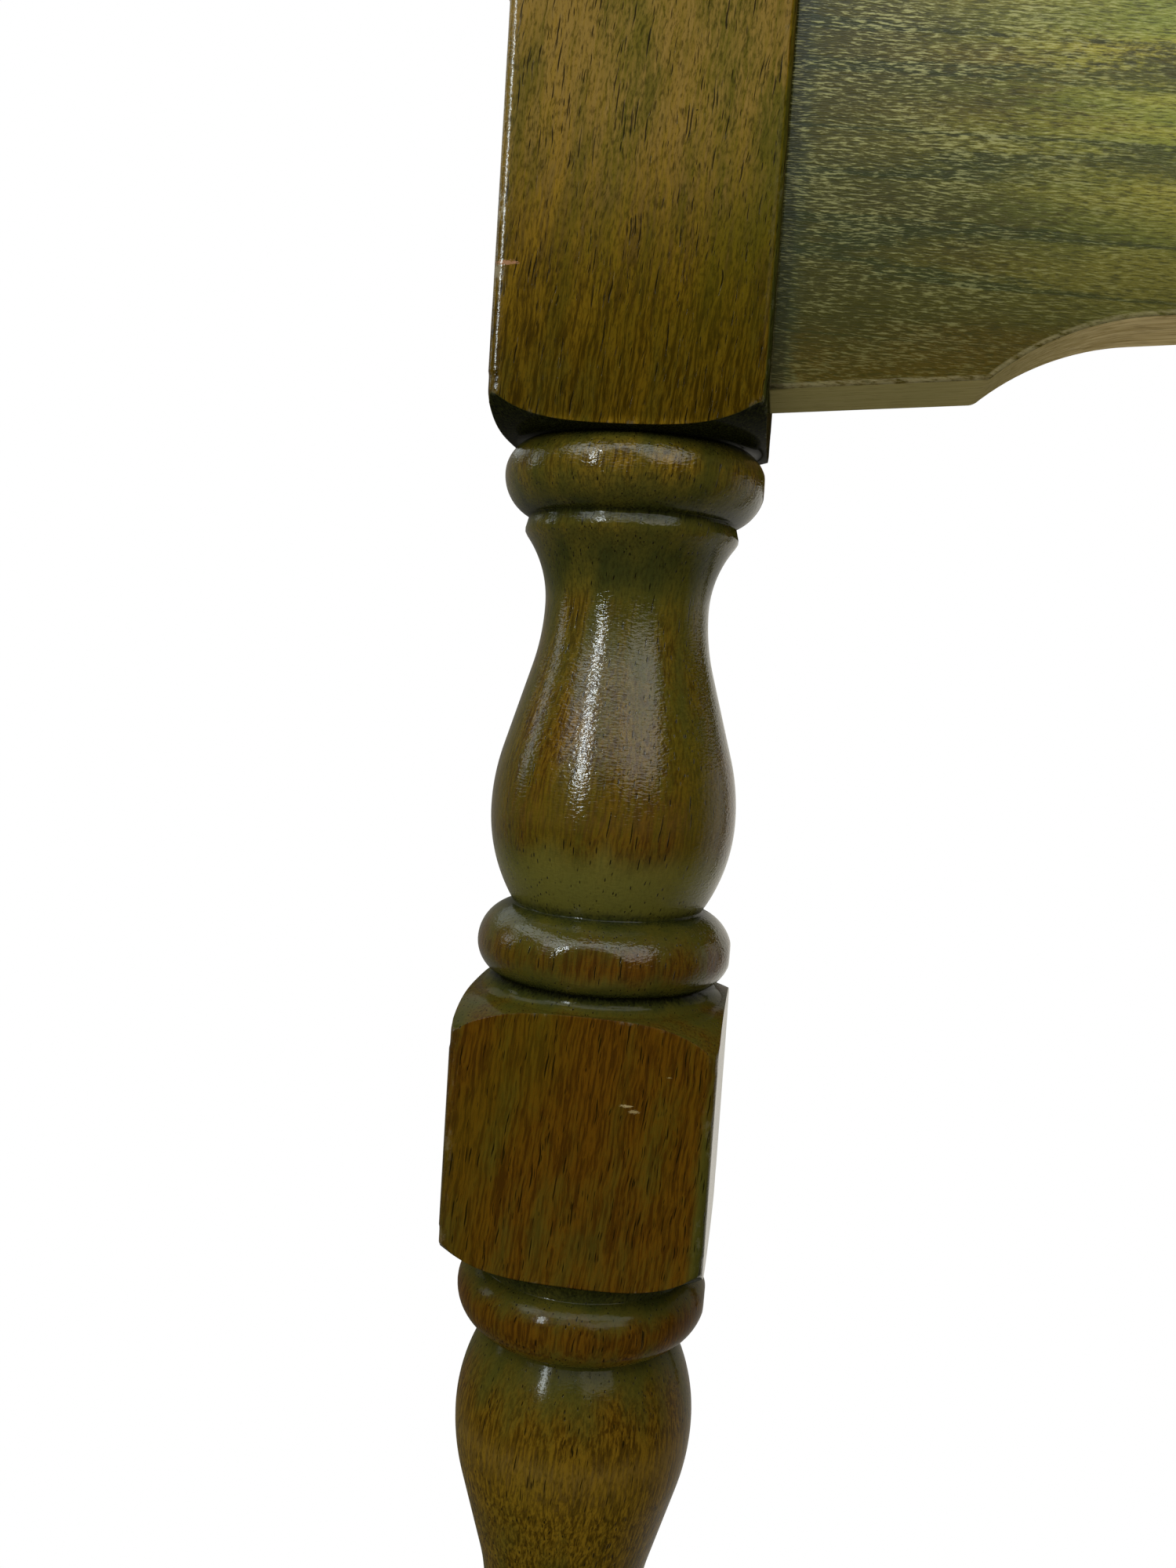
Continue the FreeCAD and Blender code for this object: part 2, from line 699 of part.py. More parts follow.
def mitre(body, half_length, half_mitre):
    """Cut a sector of the seat back to the two diagonals that meet in the middle.

    The cut follows each diagonal for twice its length, so that it ends outside the seat.
    """
    margin = dim["trim_allowance"]
    above = rail_top + dim["straw_thickness"] + dim["seat_crown"] + margin
    plan = new_sketch(body, "XY_Plane", offset=above)
    wide = 2 * half_length
    deep = -2 * half_mitre
    draw(plan, [Step(0, 0), Step(wide, deep), Step(wide, margin), Step(-wide, margin), Step(-wide, deep)])
    pocket(body, plan)


def make_straw(name):
    """One sector of the weave: straw wrapped round a rail, both layers meeting at the middle."""
    half_length, half_across, half_mitre = seat_side(name)
    body = new_body(f"straw_{name}")
    low = dim["straw_gap"]
    high = rail_top + dim["straw_thickness"]
    bend = dim["straw_round"] - half_across
    rail_edge = rail_inside - half_across
    section = new_sketch(body, "YZ_Plane")
    draw(section, [
        Step(bend, low, centre_x=bend),
        Step(0, low),
        Step(0, high + dim["seat_crown"]),
        Step(rail_edge, high, centre_x=ZERO),
        Step(bend, high),
        Step(-half_across, high - dim["straw_round"], centre_x=bend),
        Step(-half_across, low + dim["straw_round"]),
    ])
    draw(section, [
        Step(dim["straw_thickness"] - half_across, rail_bottom),
        Step(-dim["core_half_width"], rail_bottom),
        Step(-dim["core_half_width"], rail_top + dim["stuffing_rise"]),
        Step(rail_edge, rail_top),
        Step(dim["straw_thickness"] - half_across, rail_top),
    ])
    pad(body, section, 2 * half_length, symmetric=True)
    mitre(body, half_length, half_mitre)
    place_on_seat(body, name)
    return body


def make_stuffing(name):
    """The wedge of loose straw between the two layers of a sector."""
    half_length, half_across, half_mitre = seat_side(name)
    body = new_body(f"stuffing_{name}")
    rail_edge = rail_inside - half_across
    section = new_sketch(body, "YZ_Plane")
    draw(section, [
        Step(rail_edge, rail_bottom),
        Step(-dim["core_half_width"], rail_bottom),
        Step(-dim["core_half_width"], rail_top + dim["stuffing_rise"]),
        Step(rail_edge, rail_top),
    ])
    pad(body, section, 2 * half_length, symmetric=True)
    mitre(body, half_length, half_mitre)
    place_on_seat(body, name)
    return body


corners = [(side, end) for end in ENDS for side in SIDES]
nodes = [make_leg(side, end) for side, end in corners]
nodes += [make_long_apron(end) for end in ENDS]
nodes += [make_side_apron(side) for side in SIDES]
nodes += [make_apron_dowels(side, end) for side, end in corners]
nodes += [make_brace(side, end) for side, end in corners]
nodes += [make_brace_screws(side, end) for side, end in corners]
nodes += [make_rail(name) for name in SEAT_SIDES]
nodes += [make_corner_block(side, end) for side, end in corners]
nodes += [make_seat_dowels()]
nodes += [make_straw(name) for name in SEAT_SIDES]
nodes += [make_stuffing(name) for name in SEAT_SIDES]
doc.recompute()

CUTS = ("PartDesign::Pocket", "PartDesign::Groove", "PartDesign::Fillet")
for item in doc.Objects:
    if "Invalid" in item.State or "Error" in item.State:
        raise RuntimeError(f"{item.Label} failed: {item.State}")
    if item.TypeId in CUTS and item.Shape.Volume >= item.BaseFeature.Shape.Volume:
        raise RuntimeError(f"{item.Label} removed nothing")
for node in nodes:
    if node.Shape.isNull() or not node.Shape.isValid():
        raise RuntimeError(f"{node.Label} has no valid shape")

os.makedirs("parts", exist_ok=True)
for node in nodes:
    node.Shape.exportStep(f"parts/{node.Label}.step")
print(f"{len(nodes)} pieces, frame height {frame_height.value:.2f}")
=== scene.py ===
import math
import random
from collections import namedtuple

import bmesh
import bpy
from mathutils import Matrix, Vector


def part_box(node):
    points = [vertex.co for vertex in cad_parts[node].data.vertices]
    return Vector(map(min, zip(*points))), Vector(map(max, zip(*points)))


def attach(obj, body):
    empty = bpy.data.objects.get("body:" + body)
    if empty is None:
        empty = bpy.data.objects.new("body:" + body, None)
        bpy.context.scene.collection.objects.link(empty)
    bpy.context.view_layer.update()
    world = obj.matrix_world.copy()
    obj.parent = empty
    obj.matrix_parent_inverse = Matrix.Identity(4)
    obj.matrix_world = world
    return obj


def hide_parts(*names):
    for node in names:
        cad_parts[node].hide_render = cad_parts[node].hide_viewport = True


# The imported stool. Its solids come from the frame, in metres. It stands on the floor at z = 0 with
# its front towards -Y.
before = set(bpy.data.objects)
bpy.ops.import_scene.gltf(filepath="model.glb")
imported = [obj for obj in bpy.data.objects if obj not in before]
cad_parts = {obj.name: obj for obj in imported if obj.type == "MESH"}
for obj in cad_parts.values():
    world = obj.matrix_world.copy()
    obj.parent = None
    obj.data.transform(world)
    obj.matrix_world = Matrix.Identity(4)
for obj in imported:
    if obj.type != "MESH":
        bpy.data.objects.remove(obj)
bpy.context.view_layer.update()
scene = bpy.context.scene
MM = 0.001

# Camera. It stands close in front of the left front leg, about as high as the leg's upper
# baluster. Its far clip lies behind that leg and the front apron, and before the rest.
camera = bpy.data.objects.new("camera", bpy.data.cameras.new("camera"))
camera.location = Vector((-122.0, -373.1, 233.3)) * MM
camera.rotation_euler = [math.radians(angle) for angle in (86.155, 0.576, 8.226)]
camera.data.lens = 30.24
camera.data.clip_start = 10 * MM
camera.data.clip_end = 330 * MM
scene.collection.objects.link(camera)
scene.camera = camera

# Legs. Four beech squares, each with two turned balusters, a square block between them and a
# turned foot. They lean out to the left and right, and are cut level at the seat and the floor.
SIDES = {1: "left", -1: "right"}
ENDS = {1: "front", -1: "back"}
CORNERS = [(end, side, f"{end_name}_{side_name}")
           for end, end_name in ENDS.items() for side, side_name in SIDES.items()]
LEG_LEAN = math.radians(4.35)
LEG_AXIS = 140 * MM
LEG_HALF = 22.5 * MM
ARRIS_RADIUS = 1.5 * MM
LEG_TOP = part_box("leg_front_left")[1].z

TOP_BLOCK_LENGTH = 86 * MM
MID_BLOCK_LENGTH = 52.4 * MM
FOOT_LENGTH = 38.5 * MM
BEAD_HEIGHT = 12.5 * MM
BEAD_CREST = 7.1 * MM
BEAD_RADIUS = 22.8 * MM
GROOVE_RADIUS = 19.5 * MM
VASE_LENGTH = 67.9 * MM
VASE_FOOT_RADIUS = 16.8 * MM
BELLY_HEIGHT = 16.7 * MM
BELLY_RADIUS = 21.8 * MM
NECK_HEIGHT = 53.1 * MM
NECK_RADIUS = 14.45 * MM
VASE_BEND_HEIGHT = 10.92 * MM
VASE_BEND_DEPTH = 1.557 * MM
LIP_HEIGHT = 65.2 * MM
LIP_RADIUS = 18.9 * MM
LIP_GROOVE_RADIUS = 18.2 * MM
FOOT_SWELL = 22 * MM
FOOT_RADIUS = 21 * MM
SOLE_RADIUS = 14.5 * MM
COLLAR_RADIUS = 21.6 * MM
SHOULDER_RISE = 5.7 * MM
SHOULDER_ZONE = 9 * MM
TOP_COLLAR = 0.3 * MM
MID_UPPER_COLLAR = 2.6 * MM
MID_LOWER_COLLAR = 3.8 * MM
# Where a leg's top lies along its timber, and how far the grain slopes across the leg.
GRAIN_START = 0.4
GRAIN_LEAN = 0.09

CORNER_RADIUS = LEG_HALF * math.sqrt(2)
BALUSTER_LENGTH = 2 * BEAD_HEIGHT + VASE_LENGTH
TOP_GROOVE = -TOP_BLOCK_LENGTH
MID_UPPER_GROOVE = TOP_GROOVE - BALUSTER_LENGTH
MID_LOWER_GROOVE = MID_UPPER_GROOVE - MID_BLOCK_LENGTH
FOOT_GROOVE = MID_LOWER_GROOVE - BALUSTER_LENGTH
SOLE = FOOT_GROOVE - FOOT_LENGTH
# Each shoulder of a square block: its level, the direction in which the block lies, and how deep
# the stain lies on it, deepened by painted shade on the shoulders that face down.
SHOULDERS = (
    (TOP_GROOVE + TOP_COLLAR, 1, 0.95),
    (MID_UPPER_GROOVE - MID_UPPER_COLLAR, -1, 0.45),
    (MID_LOWER_GROOVE + MID_LOWER_COLLAR, 1, 0.9),
)
# How far from the leg's axis a flat of the squared blank is left on the bead over the middle block.
BEAD_FLAT = 22 * MM
# One ring of the turned leg: its radius, its height, and how deep the stain lies in it, deepened by
# painted shade in the grooves.
Ring = namedtuple("Ring", "radius height stain")


def turn_arc(rings, end, steps, centre_height, soak=0):
    """Carry rings on along an arc to its end, with the arc's centre at a known height. The stain on the
    way may be deeper or thinner than at both ends."""
    start = rings[-1]
    reach = (end.radius ** 2 + end.height ** 2 - start.radius ** 2 - start.height ** 2) / 2
    centre = (reach - centre_height * (end.height - start.height)) / (end.radius - start.radius)
    radius = math.hypot(end.radius - centre, end.height - centre_height)
    first = math.atan2(start.height - centre_height, start.radius - centre)
    last = math.atan2(end.height - centre_height, end.radius - centre)
    sweep = math.remainder(last - first, math.tau)
    for step in range(1, steps + 1):
        share = step / steps
        angle = first + sweep * share
        rings.append(Ring(centre + radius * math.cos(angle), centre_height + radius * math.sin(angle),
                          start.stain + (end.stain - start.stain) * share
                          + soak * math.sin(math.pi * share)))


def turn_line(rings, end, steps):
    """Carry rings on along a straight line to its end."""
    start = rings[-1]
    for step in range(1, steps + 1):
        share = step / steps
        rings.append(Ring(*(a + (b - a) * share for a, b in zip(start, end))))


def turn_baluster():
    """Rings of a baluster, outwards from the middle block: bead, vase, lip and bead."""
    crest = BEAD_HEIGHT - BEAD_CREST
    belly = BEAD_HEIGHT + BELLY_HEIGHT
    neck = BEAD_HEIGHT + NECK_HEIGHT
    lip = BEAD_HEIGHT + LIP_HEIGHT
    vase_end = BEAD_HEIGHT + VASE_LENGTH
    last_crest = vase_end + BEAD_CREST
    rings = [Ring(GROOVE_RADIUS, 0, 1.0)]
    turn_arc(rings, Ring(BEAD_RADIUS, crest, 0.12), 16, crest)
    turn_arc(rings, Ring(VASE_FOOT_RADIUS, BEAD_HEIGHT, 0.86), 18, crest)
    turn_arc(rings, Ring(BELLY_RADIUS, belly, -0.1), 18, belly)
    turn_arc(rings, Ring(BELLY_RADIUS - VASE_BEND_DEPTH, belly + VASE_BEND_HEIGHT, 0.15), 12, belly)
    turn_line(rings, Ring(NECK_RADIUS + VASE_BEND_DEPTH, neck - VASE_BEND_HEIGHT, 0.35), 12)
    turn_arc(rings, Ring(NECK_RADIUS, neck, 0.45), 12, neck)
    turn_arc(rings, Ring(LIP_RADIUS, lip, 0.5), 14, neck, soak=0.25)
    edge = len(rings) - 1
    turn_line(rings, Ring(LIP_GROOVE_RADIUS, vase_end, 0.9), 4)
    before, sharp, after = rings[edge - 1:edge + 2]
    rings[edge] = Ring(*((a + 2 * b + c) / 4 for a, b, c in zip(before, sharp, after)))
    turn_arc(rings, Ring(BEAD_RADIUS, last_crest, 0.3), 20, last_crest)
    turn_arc(rings, Ring(GROOVE_RADIUS, last_crest - BEAD_CREST + BEAD_HEIGHT, 1.0), 16, last_crest,
             soak=-0.1)
    return rings


def shoulder_height(radius):
    """Height of a block's rounded shoulder over its collar, at a distance from the leg's axis."""
    spread = CORNER_RADIUS - COLLAR_RADIUS
    bend = (spread ** 2 + SHOULDER_RISE ** 2) / (2 * SHOULDER_RISE)
    return bend - math.sqrt(bend ** 2 - (radius - COLLAR_RADIUS) ** 2)


def turn_shoulder(level, direction, stain, flat_stain):
    """Rings from a block's flats over the edge of its shoulder to its collar."""
    steps = 14
    crowding = 1.4
    rings = []
    for step in range(steps, 0, -1):
        share = (step / steps) ** crowding
        height = SHOULDER_RISE + share * (SHOULDER_ZONE - SHOULDER_RISE)
        rings.append(Ring(CORNER_RADIUS, level + direction * height, flat_stain))
    for step in range(steps + 1):
        share = 1 - (step / steps) ** crowding
        radius = COLLAR_RADIUS + share * (CORNER_RADIUS - COLLAR_RADIUS)
        rings.append(Ring(radius, level + direction * shoulder_height(radius),
                          stain if step else flat_stain))
    return rings


def turn_leg():
    """All rings of a leg, from above its top down to below its sole."""
    spare = 6 * MM
    past_shoulder = 1.1 * SHOULDER_ZONE
    lower_stain = 0.8
    top, upper, lower = SHOULDERS
    baluster = turn_baluster()
    rings = [Ring(CORNER_RADIUS, spare, -0.3)]
    turn_line(rings, Ring(CORNER_RADIUS, (top[0] + SHOULDER_ZONE) / 2, -0.15), 16)
    turn_line(rings, Ring(CORNER_RADIUS, top[0] + past_shoulder, 0.1), 14)
    rings += turn_shoulder(*top, 0.15)
    rings += [Ring(r, MID_UPPER_GROOVE + h, stain) for r, h, stain in reversed(baluster)]
    rings += reversed(turn_shoulder(*upper, 0.1))
    turn_line(rings, Ring(CORNER_RADIUS, lower[0] + past_shoulder, 0.2), 14)
    rings += turn_shoulder(*lower, 0.25)
    rings += [Ring(r, MID_LOWER_GROOVE - h, lower_stain * stain) for r, h, stain in baluster]
    swell = SOLE + FOOT_SWELL
    turn_arc(rings, Ring(FOOT_RADIUS, swell, 0.1), 14, swell)
    turn_arc(rings, Ring(SOLE_RADIUS, SOLE, 0.5), 16, swell)
    turn_line(rings, Ring(SOLE_RADIUS, SOLE - spare, 0.5), 2)
    return rings


def square_reach(angle):
    """Distance from the leg's axis to the outline of its square section with rounded arrises."""
    wide = max(abs(math.cos(angle)), abs(math.sin(angle)))
    slim = min(abs(math.cos(angle)), abs(math.sin(angle)))
    flat = LEG_HALF - ARRIS_RADIUS
    if LEG_HALF * slim / wide <= flat:
        return LEG_HALF / wide
    return flat * (wide + slim) + math.sqrt(ARRIS_RADIUS ** 2 - (flat * (wide - slim)) ** 2)


def soft_least(first, second, blend):
    """The lesser of two lengths, with the change between them rounded over."""
    share = min(max(0.5 + (second - first) / (2 * blend), 0), 1)
    return second + (first - second) * share - blend * share * (1 - share)


ARRIS_REACH = square_reach(math.pi / 4)
NEAR = 0.01 * MM


def press_square(co):
    """Where a point of the spun blank lies on the square leg, with the wear and a painted highlight on the
    outer arris, the added stain and a painted shadow beside the apron, and the share of polish that it
    has from the edges there."""
    crowding = 0.15
    flat_spread = 0.5
    lens_round = 0.08 * MM
    crease_wear = 0.08
    crease_width = 0.3 * MM
    least_wear = 0.05
    arris_width = 0.6 * MM
    worn_and_lit_height = -62 * MM
    worn_and_lit_share = 1.2
    arris_stain = 0.4
    stain_width = 0.8 * MM
    inner_shadow = 0.7
    face_polish = 0.08
    shoulder_polish = 0.25
    low_polish = 0.3
    angle = math.atan2(co.y, co.x)
    angle += crowding * math.sin(4 * angle)
    radius = math.hypot(co.x, co.y)
    height = co.z
    reach = square_reach(angle)
    wear, stain, polish = 0, 0, 1
    if radius > CORNER_RADIUS - NEAR:
        outer = math.cos(angle) < 0
        fronting = abs(math.sin(angle)) > abs(math.cos(angle))
        middle_block = MID_LOWER_GROOVE < height < MID_UPPER_GROOVE
        arris = math.exp(-((ARRIS_REACH - reach) / arris_width) ** 2)
        # Wear on the outer arris, with a painted highlight where light catches it, strongest high up and
        # gone lower down.
        worn_and_lit = min(max(worn_and_lit_share - height / worn_and_lit_height, 0), 1)
        wear = arris * (least_wear + (1 - least_wear) * outer * worn_and_lit)
        if outer:
            polish = face_polish + (1 - face_polish) * arris
        elif fronting or not middle_block:
            polish = face_polish
        if middle_block and not outer:
            stain = arris_stain * math.exp(-((ARRIS_REACH - reach) / stain_width) ** 2)
        # Painted shadow on the block's inner face, where the apron meets the leg.
        elif not fronting and not outer:
            stain = inner_shadow
    pressed = soft_least(radius, reach, lens_round)
    if 0 < height - MID_UPPER_GROOVE < BEAD_HEIGHT and math.sin(angle) < -flat_spread:
        pressed = soft_least(pressed, -BEAD_FLAT / math.sin(angle), lens_round)
    for level, direction, _ in SHOULDERS:
        depth = (height - level) * direction
        if not -NEAR < depth < SHOULDER_ZONE + NEAR or radius < COLLAR_RADIUS - NEAR:
            continue
        edge = shoulder_height(reach)
        if radius < CORNER_RADIUS - NEAR:
            share = (radius - COLLAR_RADIUS) / (CORNER_RADIUS - COLLAR_RADIUS)
            pressed = COLLAR_RADIUS + share * (reach - COLLAR_RADIUS)
            height = level + direction * shoulder_height(pressed)
            gap = reach - pressed
            polish = shoulder_polish
        else:
            share = (depth - SHOULDER_RISE) / (SHOULDER_ZONE - SHOULDER_RISE)
            pressed = reach
            height = level + direction * (edge + share * (SHOULDER_ZONE - edge))
            gap = share * (SHOULDER_ZONE - edge)
        wear = max(wear, crease_wear * math.exp(-(gap / crease_width) ** 2))
    if height < MID_LOWER_GROOVE:
        polish *= low_polish
    place = Vector((pressed * math.cos(angle), pressed * math.sin(angle), height))
    return place, wear, stain, polish


def near_corner(place):
    """Whether a point lies by the tip of a shoulder, where handling has rounded the wood."""
    reach = 3 * MM
    half = ARRIS_REACH / math.sqrt(2)
    for level, direction, _ in SHOULDERS:
        tip = Vector((half, half, level + direction * shoulder_height(ARRIS_REACH)))
        if (Vector((abs(place.x), abs(place.y), place.z)) - tip).length < reach:
            return True
    return False


def spin_leg():
    """The whole leg about its own axis, spun from its rings and pressed square at its blocks."""
    steps = 192
    dull_stain = 0.5
    dull_span = 0.4
    dulled = 0.7
    worn = 0.1
    ease = 0.4
    edge_rounds, corner_rounds = 2, 12
    bm = bmesh.new()
    stain = bm.verts.layers.float.new("stain")
    wear = bm.verts.layers.float.new("wear")
    polish = bm.verts.layers.float.new("polish")
    outline = []
    for ring in turn_leg():
        vert = bm.verts.new((ring.radius, 0, ring.height))
        vert[stain] = ring.stain
        vert[polish] = 1 - dulled * min(max((ring.stain - dull_stain) / dull_span, 0), 1)
        outline.append(vert)
    edges = [bm.edges.new(pair) for pair in zip(outline, outline[1:])]
    bmesh.ops.spin(bm, geom=outline + edges, cent=(0, 0, 0), axis=(0, 0, 1),
                   angle=math.tau, steps=steps, use_merge=True)
    edge_verts = []
    corner_verts = []
    for vert in bm.verts:
        vert.co, vert[wear], soaked, shine = press_square(vert.co)
        vert[stain] += soaked
        vert[polish] *= shine
        if vert[wear] > worn:
            edge_verts.append(vert)
        if near_corner(vert.co):
            corner_verts.append(vert)
    for rounds, verts in ((edge_rounds, edge_verts), (corner_rounds, corner_verts)):
        for _ in range(rounds):
            bmesh.ops.smooth_vert(bm, verts=verts, factor=ease,
                                  use_axis_x=True, use_axis_y=True, use_axis_z=True)
    bmesh.ops.recalc_face_normals(bm, faces=bm.faces)
    return bm


def plug(tree, socket, value):
    """Set a node's socket to a value, or link an output to it."""
    if isinstance(value, bpy.types.NodeSocket):
        tree.links.new(value, socket)
    else:
        socket.default_value = value


def add_node(tree, kind, sockets, **settings):
    """A new shader node with its settings, and its sockets set or linked."""
    made = tree.nodes.new("ShaderNode" + kind)
    for name, value in settings.items():
        setattr(made, name, value)
    for name, value in sockets.items():
        plug(tree, made.inputs[name], value)
    return made


def tone(red, green, blue):
    """A colour as it looks on a screen, 0 to 255, made linear for the shader."""
    def linear(level):
        level /= 255
        return level / 12.92 if level <= 0.04045 else ((level + 0.055) / 1.055) ** 2.4
    return (linear(red), linear(green), linear(blue), 1)


def attribute(tree, name, output):
    """A value that is kept on the points of a mesh."""
    return add_node(tree, "Attribute", {}, attribute_name=name).outputs[output]


def stretched(tree, place, scale):
    """Places scaled along each axis."""
    return add_node(tree, "Mapping", {"Vector": place, "Scale": scale}).outputs["Vector"]


def noise(tree, place, scale, detail=3.0, roughness=0.5):
    """Noise from 0 to 1 that is finer along each axis by its scale, per metre."""
    return add_node(tree, "TexNoise", {"Vector": stretched(tree, place, scale), "Scale": 1.0,
                                       "Detail": detail, "Roughness": roughness}).outputs["Fac"]


def calc(tree, operation, *values):
    """The result of a sum on values or outputs."""
    made = add_node(tree, "Math", {}, operation=operation)
    for socket, value in zip(made.inputs, values):
        plug(tree, socket, value)
    return made.outputs[0]


def eased(tree, value, low, high, top=1.0):
    """Nought below low, top above high, and an even change between them."""
    return add_node(tree, "MapRange", {"Value": value, "From Min": low, "From Max": high, "To Max": top},
                    interpolation_type="SMOOTHSTEP").outputs["Result"]


def mixed(tree, share, under, over):
    """One colour laid over another."""
    factor, first, second, result = 0, 6, 7, 2
    made = add_node(tree, "Mix", {}, data_type="RGBA")
    for socket, value in ((factor, share), (first, under), (second, over)):
        plug(tree, made.inputs[socket], value)
    return made.outputs[result]


def bumped(tree, height, strength, depth):
    """The slope of a surface with a raised pattern."""
    return add_node(tree, "Bump", {"Height": height, "Strength": strength,
                                   "Distance": depth}).outputs["Normal"]


def new_material(name):
    """A material with an empty node tree, its shader and its output."""
    material = bpy.data.materials.new(name)
    material.use_nodes = True
    tree = material.node_tree
    tree.nodes.clear()
    surface = tree.nodes.new("ShaderNodeBsdfPrincipled")
    output = tree.nodes.new("ShaderNodeOutputMaterial")
    tree.links.new(surface.outputs["BSDF"], output.inputs["Surface"])
    return material, tree, surface


def lay_finish(tree, surface, sockets):
    """Give the shader its colour, roughness and the like."""
    for name, value in sockets.items():
        plug(tree, surface.inputs[name], value)


def flecks(tree, place, scale, size):
    """Short dark pores of beech, longer along the third axis, as a share of cover."""
    core = 0.55
    cells = add_node(tree, "TexVoronoi", {"Vector": stretched(tree, place, scale), "Scale": 1.0,
                                          "Randomness": 1.0}).outputs["Distance"]
    return calc(tree, "SUBTRACT", 1.0, eased(tree, cells, core * size, size))


def wavering(tree, place, scale, by):
    """Places moved a little to and fro, so that lines which follow them waver."""
    drift = add_node(tree, "TexNoise", {"Vector": stretched(tree, place, scale), "Scale": 1.0})
    moved = add_node(tree, "VectorMath", {0: drift.outputs["Color"], 1: (by, by, 0), 2: place},
                     operation="MULTIPLY_ADD")
    return moved.outputs["Vector"]


# Small marks on the front of a leg: their places and half sizes in millimetres, and their colours.
Mark = namedtuple("Mark", "place size colour")
MARKS = (
    Mark((-20.2, -22.4, -61.2), (2.4, 2.0, 0.5), (150, 108, 80)),
    Mark((8.0, -22.5, -195.6), (1.3, 1.0, 0.3), (150, 132, 92)),
    Mark((9.4, -22.5, -196.4), (1.2, 1.0, 0.4), (132, 114, 76)),
    Mark((14.8, -22.5, -190.1), (0.6, 1.0, 0.15), (128, 112, 70)),
    Mark((8.4, -22.5, -37.6), (0.22, 1.0, 0.22), (12, 10, 4)),
)


def marked(tree, grain, shift, mark, colour):
    """A small mark laid over the colour of a leg, with edges that follow the wood's fibres."""
    scale = [1 / (half * MM) for half in mark.size]
    place = [at * MM + by for at, by in zip(mark.place, shift)]
    place[0] -= GRAIN_LEAN * mark.place[2] * MM
    near = add_node(tree, "Mapping", {"Vector": grain, "Scale": scale,
                                      "Location": [-at * by for at, by in zip(place, scale)]})
    rough = noise(tree, grain, (1600, 1600, 5000), 3.0, 0.7)
    gap = add_node(tree, "VectorMath", {"Vector": near.outputs["Vector"]}, operation="LENGTH")
    gap = calc(tree, "MULTIPLY_ADD", rough, 2.4, gap.outputs["Value"])
    return mixed(tree, eased(tree, gap, 2.1, 1.6, 0.8), colour, tone(*mark.colour))


